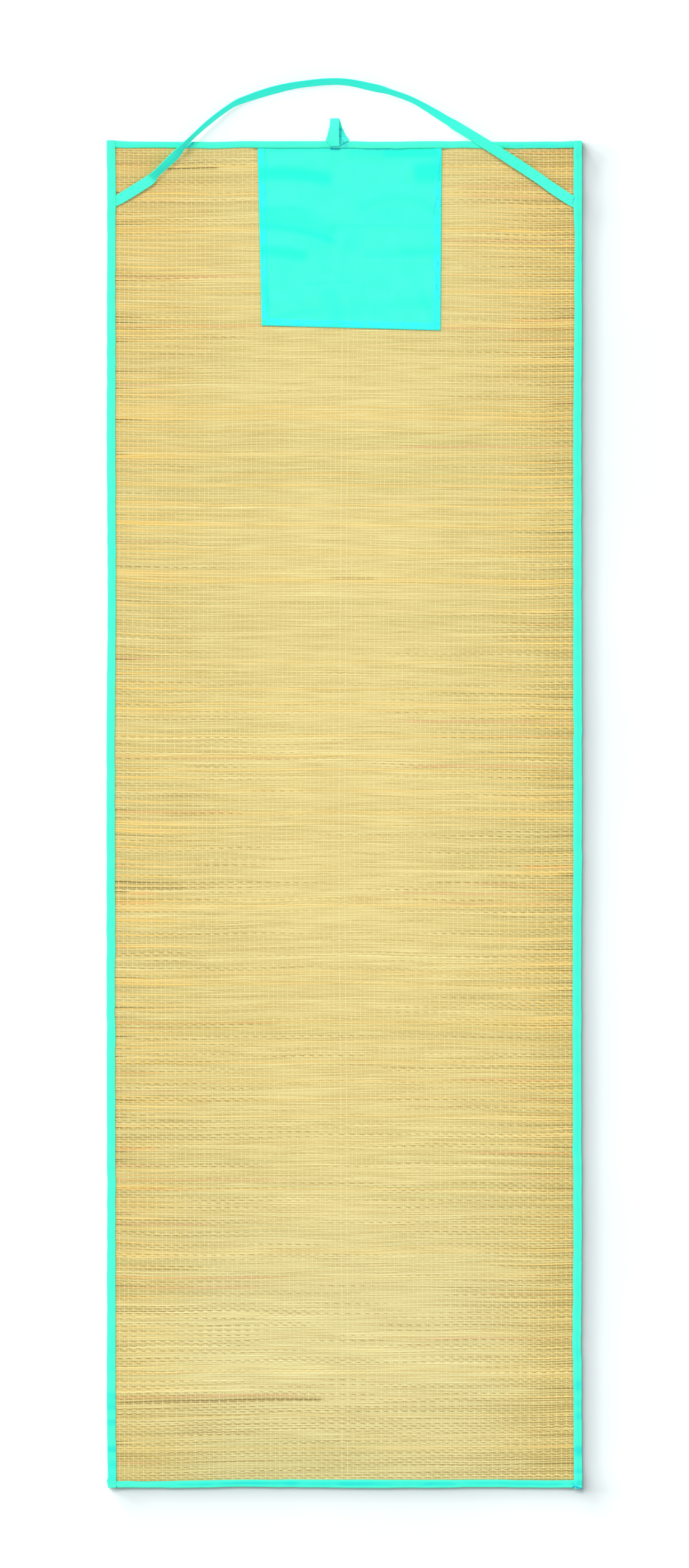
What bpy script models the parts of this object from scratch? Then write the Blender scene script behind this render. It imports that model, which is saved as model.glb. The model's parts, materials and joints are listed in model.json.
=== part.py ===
"""A straw beach mat lying open on the floor.

A panel of woven rush has cloth tape folded round its four edges. A square cloth patch is sewn on at the head
end, a carrying strap runs from side to side beyond the head end, and a small hanging loop stands at its middle.

Metres, +Z up. The origin is on the mat's underside at the middle of the bound rectangle, X runs across the
mat and +Y runs along it towards the head end.
"""

import math
from collections import namedtuple

import bmesh
import bpy
from mathutils import Vector

# The bound rectangle
WIDTH = 0.600
LENGTH = 1.702
HALF_WIDTH = WIDTH / 2
HALF_LENGTH = LENGTH / 2

# Thicknesses, and the gap that is left between pieces
RUSH_THICK = 0.0020
CLOTH_THICK = 0.0010
HEM_EXTRA = 0.0004
GAP = 0.0003

# A binding's lower wall lifts what lies in it. The panel comes back down to the floor further in
LIFT = CLOTH_THICK + GAP
LIFTED_TO = 0.013
FLAT_FROM = 0.032
PANEL_INSET = 0.003
FOLD_CHAMFER = 0.0012
OUTER_CORNERS = 6

# A side binding lies over the end bindings and rises before it reaches them. Its own ends are turned in, and
# end this far past the nominal rectangle
OVER_END_TO = 0.0125
OVER_END_FROM = 0.021
SIDE_ENDS = {"left": (0.0004, 0.0003), "right": (0.0012, 0.0003)}

# The patch, with its top edge tucked under the head binding. Its hem is level as far as HEM_TOP from its edge
PATCH_CORNERS = {
    "head left": (-0.1100, 0.8465),
    "head right": (0.1231, 0.8465),
    "foot left": (-0.1046, 0.6173),
    "foot right": (0.1215, 0.6112),
}
PATCH_HEM = 0.0092
HEM_TOP = 0.0078
PATCH_CELLS = 26
PATCH_FLAT_NEAR_BINDING = 0.016
PATCH_FLAT_NEAR_HEM = 0.014
FLAP_MARGIN = 0.0015
FLAP_SLOPE = 0.0080

STRAP_WIDTH = 0.0136
STRAP_THICK = 0.0010
STRAP_STEPS = 96
STRAP_ENDS = {"left": (0.7640, 0.7850), "right": (0.7615, 0.7845)}

LOOP_THICK = 0.0010
LOOP_STEPS = 40

# Steps between sections
FINE_STEP = 0.0035
COARSE_STEP = 0.0400
LEAST_STEP = FINE_STEP / 3
SPOT_DIGITS = 7

# The bindings. along: place on the edge from the mat's middle. out: how far the fold lies outside the
# nominal rectangle. width: how far the tape reaches inwards from its fold
Edge = namedtuple("Edge", "along out width")
HEAD_EDGE = (
    Edge(-0.290, -0.0013, 0.0086),
    Edge(-0.245, -0.0012, 0.0080),
    Edge(-0.175, -0.0014, 0.0084),
    Edge(-0.120, -0.0006, 0.0086),
    Edge(0.000, -0.0006, 0.0088),
    Edge(0.045, -0.0014, 0.0088),
    Edge(0.120, -0.0006, 0.0090),
    Edge(0.225, -0.0014, 0.0086),
    Edge(0.275, -0.0008, 0.0084),
    Edge(0.290, -0.0013, 0.0086),
)
FOOT_EDGE = (
    Edge(-0.290, -0.0013, 0.0088),
    Edge(-0.245, 0.0002, 0.0082),
    Edge(-0.200, 0.0005, 0.0094),
    Edge(-0.128, -0.0010, 0.0091),
    Edge(-0.050, -0.0004, 0.0102),
    Edge(0.026, 0.0004, 0.0108),
    Edge(0.103, 0.0003, 0.0102),
    Edge(0.180, -0.0005, 0.0096),
    Edge(0.257, 0.0003, 0.0097),
    Edge(0.290, -0.0013, 0.0092),
)
LEFT_EDGE = (
    Edge(-0.851, -0.0010, 0.0108),
    Edge(-0.817, -0.0006, 0.0112),
    Edge(-0.740, 0.0003, 0.0112),
    Edge(-0.510, -0.0001, 0.0106),
    Edge(-0.202, 0.0005, 0.0108),
    Edge(0.106, 0.0005, 0.0106),
    Edge(0.260, -0.0007, 0.0104),
    Edge(0.490, 0.0004, 0.0110),
    Edge(0.720, -0.0001, 0.0106),
    Edge(0.790, -0.0001, 0.0112),
    Edge(0.851, 0.0004, 0.0108),
)
RIGHT_EDGE = (
    Edge(-0.851, 0.0006, 0.0108),
    Edge(-0.740, -0.0002, 0.0106),
    Edge(-0.664, -0.0007, 0.0112),
    Edge(-0.510, 0.0000, 0.0110),
    Edge(-0.280, -0.0006, 0.0112),
    Edge(0.000, 0.0002, 0.0112),
    Edge(0.413, -0.0004, 0.0108),
    Edge(0.721, 0.0002, 0.0096),
    Edge(0.790, 0.0004, 0.0112),
    Edge(0.851, 0.0002, 0.0104),
)

# The patch's soft creases. Each is a low ridge from one place to another, bowed by bow, which fades away
# over spread on its head side and over fall on its foot side
Crease = namedtuple("Crease", "x0 y0 x1 y1 bow height spread fall")
CREASES = (
    Crease(-0.108, 0.818, -0.022, 0.819, 0.004, 0.0016, 0.016, 0.012),
    Crease(-0.104, 0.768, -0.020, 0.744, 0.012, 0.0017, 0.013, 0.016),
    Crease(-0.104, 0.718, -0.052, 0.712, 0.001, 0.0015, 0.012, 0.010),
    Crease(0.026, 0.769, 0.118, 0.764, 0.016, 0.0010, 0.012, 0.007),
    Crease(0.028, 0.745, 0.112, 0.745, 0.001, 0.0009, 0.012, 0.006),
    Crease(0.060, 0.719, 0.117, 0.722, 0.002, 0.0013, 0.014, 0.010),
    Crease(0.082, 0.818, 0.116, 0.806, 0.004, 0.0018, 0.012, 0.016),
    Crease(-0.026, 0.722, -0.002, 0.723, 0.000, 0.0009, 0.008, 0.010),
    Crease(-0.052, 0.656, 0.018, 0.655, -0.002, 0.0008, 0.014, 0.010),
    Crease(-0.100, 0.652, -0.066, 0.640, 0.002, 0.0009, 0.010, 0.010),
    Crease(0.060, 0.656, 0.108, 0.648, 0.004, 0.0010, 0.014, 0.014),
)
CREASE_END_FADE = 0.010

# The strap. x and y: the middle of the tape as seen from above. low: the height of its lowest edge.
# roll: how far, in degrees, the tape is turned up on its inner edge
Turn = namedtuple("Turn", "x y low roll")
STRAP = (
    Turn(-0.2962, 0.7742, 0.0036, 0),
    Turn(-0.2815, 0.7796, 0.0037, 0),
    Turn(-0.2531, 0.7964, 0.0040, 2),
    Turn(-0.2441, 0.8021, 0.0042, 8),
    Turn(-0.2369, 0.8108, 0.0043, 48),
    Turn(-0.2138, 0.8319, 0.0056, 42),
    Turn(-0.1992, 0.8481, 0.0068, 68),
    Turn(-0.1700, 0.8750, 0.0034, 65),
    Turn(-0.1431, 0.8950, 0.0006, 64),
    Turn(-0.1312, 0.9010, 0.0000, 57),
    Turn(-0.0931, 0.9137, 0.0000, 49),
    Turn(-0.0563, 0.9217, 0.0000, 54),
    Turn(-0.0046, 0.9254, 0.0000, 55),
    Turn(0.0415, 0.9169, 0.0000, 49),
    Turn(0.0569, 0.9127, 0.0000, 61),
    Turn(0.0877, 0.9012, 0.0000, 61),
    Turn(0.1308, 0.8758, 0.0014, 42),
    Turn(0.1385, 0.8709, 0.0034, 29),
    Turn(0.1570, 0.8596, 0.0052, 27),
    Turn(0.1981, 0.8342, 0.0052, 20),
    Turn(0.2422, 0.8054, 0.0044, 4),
    Turn(0.2623, 0.7912, 0.0040, 0),
    Turn(0.2885, 0.7742, 0.0037, 0),
    Turn(0.2962, 0.7720, 0.0036, 0),
)

# The hanging loop, from the seam on the head binding's front, out over the edge and along the floor, round
# its fold and back above itself to the seam. y and z: the middle of the tape's thickness. x: the middle of
# its width
Limb = namedtuple("Limb", "y z x width")
HANGING_LOOP = (
    Limb(0.8438, 0.0071, -0.0118, 0.0124),
    Limb(0.8475, 0.0072, -0.0110, 0.0200),
    Limb(0.8500, 0.0070, -0.0094, 0.0284),
    Limb(0.8518, 0.0059, -0.0088, 0.0300),
    Limb(0.8532, 0.0040, -0.0090, 0.0286),
    Limb(0.8552, 0.0020, -0.0094, 0.0262),
    Limb(0.8590, 0.0007, -0.0100, 0.0226),
    Limb(0.8680, 0.0005, -0.0110, 0.0164),
    Limb(0.8755, 0.0005, -0.0118, 0.0124),
    Limb(0.8783, 0.0010, -0.0120, 0.0118),
    Limb(0.8787, 0.0024, -0.0121, 0.0118),
    Limb(0.8766, 0.0050, -0.0122, 0.0118),
    Limb(0.8700, 0.0086, -0.0126, 0.0120),
    Limb(0.8620, 0.0103, -0.0132, 0.0122),
    Limb(0.8530, 0.0102, -0.0126, 0.0118),
    Limb(0.8470, 0.0090, -0.0120, 0.0112),
    Limb(0.8432, 0.0085, -0.0118, 0.0108),
)

# Colours read from the cloth and the rush, as linear values
TURQUOISE = (0.05, 0.89, 0.68, 1.0)
TURQUOISE_TAPE = (0.06, 0.90, 0.65, 1.0)
STRAW = (0.75, 0.60, 0.26, 1.0)


def ease(share):
    """Goes from 0 to 1 with a level start and end."""
    share = min(max(share, 0.0), 1.0)
    return share * share * (3 - 2 * share)


def plateau(at, start, stop, slope):
    """1 between start and stop, easing to 0 over slope on either side."""
    return ease((at - start) / slope + 1) * ease((stop - at) / slope + 1)


def level(rows, column, along):
    """Reads a column of an edge's table at any place, easing from row to row."""
    if along <= rows[0].along:
        return getattr(rows[0], column)
    for before, after in zip(rows, rows[1:]):
        if along <= after.along:
            share = ease((along - before.along) / (after.along - before.along))
            first, last = getattr(before, column), getattr(after, column)
            return first + (last - first) * share
    return getattr(rows[-1], column)


def flowing(rows, steps):
    """Reads a table's rows as a smooth curve through all of them, at even steps of its own length."""
    lengths = [0.0]
    for before, after in zip(rows, rows[1:]):
        lengths.append(lengths[-1] + math.dist(before[:2], after[:2]) + abs(before[2] - after[2]))
    found = []
    for step in range(steps + 1):
        at = lengths[-1] * step / steps
        i = max(k for k in range(len(rows) - 1) if lengths[k] <= at + 1e-9)
        share = (at - lengths[i]) / (lengths[i + 1] - lengths[i])
        found.append(type(rows[0])(*(blended(rows, lengths, i, share, c) for c in range(len(rows[0])))))
    return found


def blended(rows, lengths, i, share, column):
    """A cubic between rows i and i + 1 whose slopes follow the rows around them."""
    run = lengths[i + 1] - lengths[i]

    def slope(k):
        low, high = max(k - 1, 0), min(k + 1, len(rows) - 1)
        return (rows[high][column] - rows[low][column]) / (lengths[high] - lengths[low])

    first, last = rows[i][column], rows[i + 1][column]
    square, cube = share * share, share * share * share
    return (
        first * (2 * cube - 3 * square + 1)
        + slope(i) * run * (cube - 2 * square + share)
        + last * (3 * square - 2 * cube)
        + slope(i + 1) * run * (cube - square)
    )


def lift(depth):
    """How high a binding's lower wall carries what lies this far in from the edge."""
    return LIFT * ease((FLAT_FROM - depth) / (FLAT_FROM - LIFTED_TO))


def panel_under(x, y):
    """The height of the rush panel's underside."""
    return lift(HALF_WIDTH - abs(x)) + lift(HALF_LENGTH - abs(y))


def stations(half, *dense):
    """Places along a straight edge: close together near its ends and in the dense stretches."""
    near = FLAT_FROM + FINE_STEP
    stretches = [(-half, near - half), (half - near, half), *dense]
    found = [-half, half]
    for start, stop in stretches:
        count = round((stop - start) / FINE_STEP)
        found += [start + (stop - start) * i / count for i in range(count + 1)]
    count = round(2 * half / COARSE_STEP)
    coarse = [-half + 2 * half * i / count for i in range(count + 1)]
    found += [p for p in coarse if min(abs(p - q) for q in found) > FINE_STEP]
    kept = [-half]
    for place in sorted(found):
        if place - kept[-1] > LEAST_STEP and half - place > LEAST_STEP:
            kept.append(place)
    return [*kept, half]


def make_material(name, colour, roughness):
    """A plain finish of one colour."""
    material = bpy.data.materials.new(name)
    material.use_nodes = True
    shader = material.node_tree.nodes["Principled BSDF"]
    shader.inputs["Base Color"].default_value = colour
    shader.inputs["Roughness"].default_value = roughness
    shader.inputs["Metallic"].default_value = 0.0
    material.diffuse_color = colour
    return material


def skin(work, rings):
    """Joins a row of closed rings of points with faces."""
    for near, far in zip(rings, rings[1:]):
        for i in range(len(near)):
            j = (i + 1) % len(near)
            work.faces.new((near[i], near[j], far[j], far[i]))


def finish_piece(name, work, material):
    """Turns a bmesh into a named piece with its faces pointing out."""
    bmesh.ops.recalc_face_normals(work, faces=work.faces)
    mesh = bpy.data.meshes.new(name)
    work.to_mesh(mesh)
    work.free()
    mesh.materials.append(material)
    piece = bpy.data.objects.new(name, mesh)
    COLLECTION.objects.link(piece)
    return piece


def loft(name, sections, material):
    """Skins a row of closed sections and caps both ends."""
    work = bmesh.new()
    rings = [[work.verts.new(point) for point in section] for section in sections]
    skin(work, rings)
    work.faces.new(rings[0])
    work.faces.new(rings[-1])
    return finish_piece(name, work, material)


def lay_sheet(name, us, vs, place, under, thick, material):
    """A closed sheet: a grid over us and vs laid at its underside's height, then extruded to its top."""
    work = bmesh.new()
    bmesh.ops.create_grid(work, x_segments=len(us) - 1, y_segments=len(vs) - 1, size=1.0)
    spots = {}
    for vert in work.verts:
        u = us[round((vert.co.x + 1) / 2 * (len(us) - 1))]
        v = vs[round((vert.co.y + 1) / 2 * (len(vs) - 1))]
        x, y = place(u, v)
        spots[(round(x, SPOT_DIGITS), round(y, SPOT_DIGITS))] = (u, v)
        vert.co = Vector((x, y, under(x, y)))
    raised = bmesh.ops.extrude_face_region(work, geom=work.faces[:])
    for item in raised["geom"]:
        if isinstance(item, bmesh.types.BMVert):
            u, v = spots[(round(item.co.x, SPOT_DIGITS), round(item.co.y, SPOT_DIGITS))]
            item.co.z += thick(u, v)
    return finish_piece(name, work, material)


def turn_in(work, ring, y):
    """Closes a folded tape's end with a wall of its own cloth that reaches out to y."""
    outer = ring[:OUTER_CORNERS]
    inner = ring[OUTER_CORNERS:]
    far = [work.verts.new((vert.co.x, y, vert.co.z)) for vert in outer]
    for i in range(OUTER_CORNERS - 1):
        work.faces.new((outer[i], outer[i + 1], far[i + 1], far[i]))
    work.faces.new((outer[-1], *inner[:1], *inner[-1:], outer[0], far[0], far[-1]))
    work.faces.new(inner)
    work.faces.new(far)


def folded_tape(width, under, top):
    """The section of a tape folded round an edge, as (inwards, up): an open U with a bevelled fold.

    The first corners are the outer side's, and the rest are the inner side's, from the top.
    """
    cut, wall = FOLD_CHAMFER, CLOTH_THICK
    return (
        (width, under),
        (cut, under),
        (0.0, under + cut),
        (0.0, top - cut),
        (cut, top),
        (width, top),
        (width, top - wall),
        (wall, top - wall),
        (wall, under + wall),
        (width, under + wall),
    )


def over_patch(x):
    """How much higher the head binding's flap is where it covers the patch."""
    start = PATCH_CORNERS["head left"][0] - FLAP_MARGIN
    stop = PATCH_CORNERS["head right"][0] + FLAP_MARGIN
    return (CLOTH_THICK + HEM_EXTRA + GAP) * plateau(x, start, stop, FLAP_SLOPE)


def end_binding(name, rows, end, material):
    """The tape round the head end (end +1) or the foot end (end -1), inside the side bindings."""
    half = HALF_WIDTH - PANEL_INSET
    corners = [PATCH_CORNERS[c][0] for c in ("head left", "head right")]
    dense = [(x - FLAP_SLOPE - FLAP_MARGIN, x + FLAP_SLOPE + FLAP_MARGIN) for x in corners if end > 0]
    sections = []
    for x in stations(half, *dense):
        under = lift(HALF_WIDTH - abs(x))
        top = under + LIFT + RUSH_THICK + LIFT + (over_patch(x) if end > 0 else 0)
        fold = HALF_LENGTH + level(rows, "out", x)
        tape = folded_tape(level(rows, "width", x), under, top)
        sections.append([Vector((x, end * (fold - inwards), z)) for inwards, z in tape])
    return loft(name, sections, material)


def side_binding(name, rows, side, strap_end, ends, material):
    """The tape round the left (side -1) or right (side +1) edge, over the end bindings and the strap's end."""
    start, stop = strap_end
    foot, head = ends
    dense = (start - FLAP_SLOPE, stop + FLAP_SLOPE)
    foot_wall, head_wall = CLOTH_THICK - foot, CLOTH_THICK - head
    inner_places = stations(HALF_LENGTH, dense)[1:-1]
    work = bmesh.new()
    rings = []
    for y in (foot_wall - HALF_LENGTH, *inner_places, HALF_LENGTH - head_wall):
        depth = HALF_LENGTH - abs(y)
        over_end = ease((OVER_END_FROM - depth) / (OVER_END_FROM - OVER_END_TO))
        over_strap = plateau(y, start, stop, FLAP_SLOPE)
        top = LIFT + lift(depth) + RUSH_THICK + LIFT
        top += LIFT * over_end + (STRAP_THICK + GAP) * over_strap
        fold = HALF_WIDTH + level(rows, "out", y)
        tape = folded_tape(level(rows, "width", y), 0.0, top)
        rings.append([work.verts.new((side * (fold - inwards), y, z)) for inwards, z in tape])
    skin(work, rings)
    turn_in(work, rings[0], -HALF_LENGTH - foot)
    turn_in(work, rings[-1], HALF_LENGTH + head)
    return finish_piece(name, work, material)


def straw_panel(material):
    """The woven rush, flat on the floor and lifted at its rim by the bindings."""
    xs = stations(HALF_WIDTH - PANEL_INSET)
    ys = stations(HALF_LENGTH - PANEL_INSET)
    return lay_sheet(
        "straw_panel", xs, ys, lambda x, y: (x, y), panel_under, lambda x, y: RUSH_THICK, material
    )


def crease_height(crease, x, y):
    """How high one crease of the patch stands at a place."""
    run = Vector((crease.x1 - crease.x0, crease.y1 - crease.y0))
    reach = run.length
    ahead = run / reach
    away = Vector((x - crease.x0, y - crease.y0))
    along = away.dot(ahead)
    across = away.dot(Vector((-ahead.y, ahead.x)))
    middle = min(max(along / reach, 0.0), 1.0)
    across -= crease.bow * 4 * middle * (1 - middle)
    fade = crease.spread if across > 0 else crease.fall
    ends = ease(along / CREASE_END_FADE + 1) * ease((reach - along) / CREASE_END_FADE + 1)
    return crease.height * ends * math.exp(-((across / fade) ** 2))


def patch_place(u, v):
    """Where a share u across and v up the patch lies."""
    foot = Vector(PATCH_CORNERS["foot left"]).lerp(Vector(PATCH_CORNERS["foot right"]), u)
    head = Vector(PATCH_CORNERS["head left"]).lerp(Vector(PATCH_CORNERS["head right"]), u)
    return tuple(foot.lerp(head, v))


def patch_under(x, y):
    """The patch's underside: on the rush, lifted in its soft creases."""
    from_binding = HALF_LENGTH - y - LIFTED_TO
    left, right = PATCH_CORNERS["foot left"][0], PATCH_CORNERS["foot right"][0]
    foot = PATCH_CORNERS["foot right"][1]
    from_hem = min(x - left, right - x, y - foot) - PATCH_HEM / 2
    held = ease(from_binding / PATCH_FLAT_NEAR_BINDING) * ease(from_hem / PATCH_FLAT_NEAR_HEM)
    loose = sum(crease_height(crease, x, y) for crease in CREASES)
    return panel_under(x, y) + RUSH_THICK + GAP + loose * held


def patch_thick(u, v):
    """One cloth thick, and a little more along the turned hems."""
    width = PATCH_CORNERS["foot right"][0] - PATCH_CORNERS["foot left"][0]
    height = PATCH_CORNERS["head left"][1] - PATCH_CORNERS["foot left"][1]
    from_rim = min(u * width, (1 - u) * width, v * height)
    return CLOTH_THICK + (HEM_EXTRA if from_rim < (HEM_TOP + PATCH_HEM) / 2 else 0.0)


def patch(material):
    """The square of cloth at the head end."""
    width = PATCH_CORNERS["foot right"][0] - PATCH_CORNERS["foot left"][0]
    height = PATCH_CORNERS["head left"][1] - PATCH_CORNERS["foot left"][1]
    hem = PATCH_HEM / width
    inner = [hem + (1 - 2 * hem) * i / PATCH_CELLS for i in range(PATCH_CELLS + 1)]
    us = [0.0, HEM_TOP / width, *inner, 1 - HEM_TOP / width, 1.0]
    foot_hem = PATCH_HEM / height
    vs = [0.0, HEM_TOP / height]
    vs += [foot_hem + (1 - foot_hem) * i / PATCH_CELLS for i in range(PATCH_CELLS + 1)]
    return lay_sheet("patch", us, vs, patch_place, patch_under, patch_thick, material)


def carry_strap(material):
    """The carrying strap: a tape that lies flat at its ends and stands up on its inner edge between them."""
    turns = flowing(STRAP, STRAP_STEPS)
    sections = []
    for i, turn in enumerate(turns):
        before, after = turns[max(i - 1, 0)], turns[min(i + 1, len(turns) - 1)]
        ahead = Vector((after.x - before.x, after.y - before.y, 0)).normalized()
        outwards = Vector((-ahead.y, ahead.x, 0))
        roll = math.radians(max(turn.roll, 0))
        across = outwards * math.cos(roll) + Vector((0, 0, math.sin(roll)))
        through = Vector((0, 0, math.cos(roll))) - outwards * math.sin(roll)
        rise = STRAP_WIDTH / 2 * math.sin(roll) + STRAP_THICK / 2 * math.cos(roll)
        middle = Vector((turn.x, turn.y, max(turn.low, 0) + rise))
        sections.append(tape_section(middle, across * STRAP_WIDTH / 2, through * STRAP_THICK / 2))
    return loft("carry_strap", sections, material)


def tape_section(middle, half_across, half_through):
    """The four corners of a flat tape's section."""
    return [
        middle - half_across - half_through,
        middle + half_across - half_through,
        middle + half_across + half_through,
        middle - half_across + half_through,
    ]


def hang_loop(material):
    """The small loop: both its limbs are sewn on the head binding, and the lower one spreads at the edge."""
    limbs = flowing(HANGING_LOOP, LOOP_STEPS)
    sections = []
    for i, limb in enumerate(limbs):
        before, after = limbs[max(i - 1, 0)], limbs[min(i + 1, len(limbs) - 1)]
        ahead = Vector((0, after.y - before.y, after.z - before.z)).normalized()
        through = Vector((0, -ahead.z, ahead.y)) * LOOP_THICK / 2
        middle = Vector((limb.x, limb.y, max(limb.z, LOOP_THICK / 2)))
        sections.append(tape_section(middle, Vector((limb.width / 2, 0, 0)), through))
    return loft("hang_loop", sections, material)


for old in list(bpy.data.objects):
    bpy.data.objects.remove(old, do_unlink=True)
COLLECTION = bpy.data.collections.new("straw_beach_mat")
bpy.context.scene.collection.children.link(COLLECTION)

rush = make_material("rush", STRAW, 0.62)
tape = make_material("binding_cloth", TURQUOISE_TAPE, 0.85)
cloth = make_material("patch_cloth", TURQUOISE, 0.85)

straw_panel(rush)
end_binding("binding_top", HEAD_EDGE, 1, tape)
end_binding("binding_bottom", FOOT_EDGE, -1, tape)
side_binding("binding_left", LEFT_EDGE, -1, STRAP_ENDS["left"], SIDE_ENDS["left"], tape)
side_binding("binding_right", RIGHT_EDGE, 1, STRAP_ENDS["right"], SIDE_ENDS["right"], tape)
patch(cloth)
carry_strap(tape)
hang_loop(tape)
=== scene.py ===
"""The looks of a straw beach mat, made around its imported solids.

Every rush and every string of the panel is woven at its real size. The cloth tapes, the patch, the carrying
strap and the hanging loop are finer sheets on the forms of their solids, with their own hems and stitches.

Metres, +Z up. The origin is on the mat's underside at the middle of the bound rectangle, X runs across the
mat and +Y runs along it towards the head end.
"""

import json
import math
from collections import namedtuple

import bpy
import numpy as np
from bpy.props import FloatProperty, FloatVectorProperty, IntProperty, PointerProperty
from bpy.types import Operator, Panel, PropertyGroup
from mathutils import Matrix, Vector

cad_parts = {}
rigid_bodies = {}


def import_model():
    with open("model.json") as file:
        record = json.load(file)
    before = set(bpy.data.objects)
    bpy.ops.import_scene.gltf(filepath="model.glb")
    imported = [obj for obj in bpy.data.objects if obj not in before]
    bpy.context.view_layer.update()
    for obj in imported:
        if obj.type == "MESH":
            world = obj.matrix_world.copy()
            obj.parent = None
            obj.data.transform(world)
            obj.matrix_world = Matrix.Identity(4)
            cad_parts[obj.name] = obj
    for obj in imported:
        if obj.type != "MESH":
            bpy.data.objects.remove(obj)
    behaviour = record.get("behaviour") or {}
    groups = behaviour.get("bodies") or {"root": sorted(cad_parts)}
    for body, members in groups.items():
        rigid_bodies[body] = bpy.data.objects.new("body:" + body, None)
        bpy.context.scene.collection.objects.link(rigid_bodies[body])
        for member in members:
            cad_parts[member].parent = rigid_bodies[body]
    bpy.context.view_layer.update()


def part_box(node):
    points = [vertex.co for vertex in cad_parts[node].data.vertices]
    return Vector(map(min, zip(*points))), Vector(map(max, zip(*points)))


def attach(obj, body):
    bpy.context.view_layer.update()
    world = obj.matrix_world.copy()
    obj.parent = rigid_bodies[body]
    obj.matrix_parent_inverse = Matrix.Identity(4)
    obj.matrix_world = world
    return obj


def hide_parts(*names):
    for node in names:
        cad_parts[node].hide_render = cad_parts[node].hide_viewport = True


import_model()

bl_info = {
    "name": "Straw beach mat",
    "version": (1, 0, 0),
    "blender": (4, 5, 0),
    "location": "3D View > Sidebar > Beach mat",
    "description": "Weaves a rush beach mat and sews on its tapes, patch, strap and loop",
    "category": "Add Mesh",
}

# The bound rectangle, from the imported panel, which ends this far inside it
PANEL_INSET = 0.003
PANEL_LOW, PANEL_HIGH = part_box("straw_panel")
HALF_WIDTH = PANEL_HIGH.x + PANEL_INSET
HALF_LENGTH = PANEL_HIGH.y + PANEL_INSET

# Thicknesses and gaps of the solids, which the finer pieces keep to
RUSH_THICK = 0.0020
CLOTH_THICK = 0.0010
HEM_EXTRA = 0.0004
GAP = 0.0003

# A binding's lower wall lifts what lies in it. The panel comes back down to the floor further in
LIFT = CLOTH_THICK + GAP
LIFTED_TO = 0.013
FLAT_FROM = 0.032
OVER_END_TO = 0.0125
OVER_END_FROM = 0.021
SIDE_ENDS = {"left": (0.0000, 0.0003), "right": (0.0012, -0.0002)}

# The patch's outline. Its top edge is tucked under the head binding
PATCH_CORNERS = {
    "head left": (-0.1100, 0.8465),
    "head right": (0.1231, 0.8465),
    "foot left": (-0.1046, 0.6173),
    "foot right": (0.1215, 0.6112),
}
PATCH_HEM = 0.0092
PATCH_FLAT_NEAR_BINDING = 0.016
PATCH_FLAT_NEAR_HEM = 0.014
FLAP_MARGIN = 0.0015
FLAP_SLOPE = 0.0080

STRAP_WIDTH = 0.0136
STRAP_THICK = 0.0010
STRAP_ENDS = {"left": (0.7640, 0.7850), "right": (0.7615, 0.7845)}
LOOP_THICK = 0.0010

# Strings. The panel's two doubled ones stand near its middle, with the single ones on either side of them
DOUBLED_STRINGS = (-0.0071, 0.0002)
DOUBLED_SPREAD = (0.00042, 0.00012)
FIRST_LEFT_STRING = -0.0146
FIRST_RIGHT_STRING = 0.0067
FARTHEST_STRAY = 0.0009
STRING_WOBBLE = 0.00008

# A string's width where it dives under a rush, how much its width differs, and between what limits
DIVING_WIDTH = 0.36
STRING_SPREAD = 0.16
STRING_LIMITS = (0.6, 1.5)

# How much a string shows on top of a rush at least, and how much less it shows towards the foot
SHOWN_LEAST = 0.35
DULLED_AT_FOOT = 0.45
DULLED_FROM = -0.55
DULLED_TO = -0.80

# The corners of a rush's section and of a string's
RUSH_CORNERS = 4
STRING_CORNERS = 3
MILLIMETRES = 1000

# How far the strings have slipped to the right, in millimetres, at places along the mat
SLIP = (
    (-0.786, 4.0),
    (-0.694, 4.3),
    (-0.602, 3.7),
    (-0.510, 2.6),
    (-0.417, 2.9),
    (-0.325, 2.2),
    (-0.233, 1.3),
    (-0.140, 0.6),
    (-0.048, 0.0),
    (0.044, 0.5),
    (0.136, 1.0),
    (0.229, 1.5),
    (0.321, 2.3),
    (0.413, 3.1),
    (0.505, 3.7),
    (0.598, 4.2),
    (0.740, 4.6),
)
SLIP_AT_EDGE = 0.25

# How the rushes of the panel differ. Girths are shares of the pitch
WRONG_WAY_SHARE = 0.07
TAPER = -0.20
TAPER_SPREAD = 0.14
TAPER_LIMITS = (-0.35, 0.30)
RIGHT_TAPER = 1.5
GIRTH_SPREAD = 0.20
MOST_GIRTH = 0.48
OVERLAP = 0.00006
EDGE_SLIT = 0.00026
DARK_SLIT = 0.00035
LEAST_HALF_WIDTH = 0.00030
MOST_HALF_HEIGHT = 0.00056
LEAST_HALF_HEIGHT = 0.00026
RUSH_MIDDLE = 0.00112
BOB = 0.00006
DIVE = 0.00014
STRING_RISE = 0.00009
DRIFT_FADE = 0.014
WAVE = 0.00042
REDDENED = 0.09
RED_SHARE = 0.45
RIGHT_EDGE_FROM = 0.18

# How much each of these makes a stem paler. In the middle of the mat the stems differ less
TONE_OF_STEM = 0.72
TONE_ALONG_STEM = 0.30
TONE_BY_GIRTH = 1.3
CALM = 0.32

# How far a line between two rushes moves: for their girths, for a rush that is drawn up, and for the one
# beside it, as shares of the difference and of the draw
SHIFT_BY_GIRTH = 0.25
DRAWN_SHARE = 0.80
FOLLOWING_SHARE = 0.30
BANDS = ("foot", "middle", "head")

# How far apart the stems lie in the rush's noise, how closely the strings are twisted, and how fine the
# hatching of the cloth is, as a share of its threads
STEM_APART = 37.0
TWIST = 42.0
HATCH_SHARE = 0.30

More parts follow.
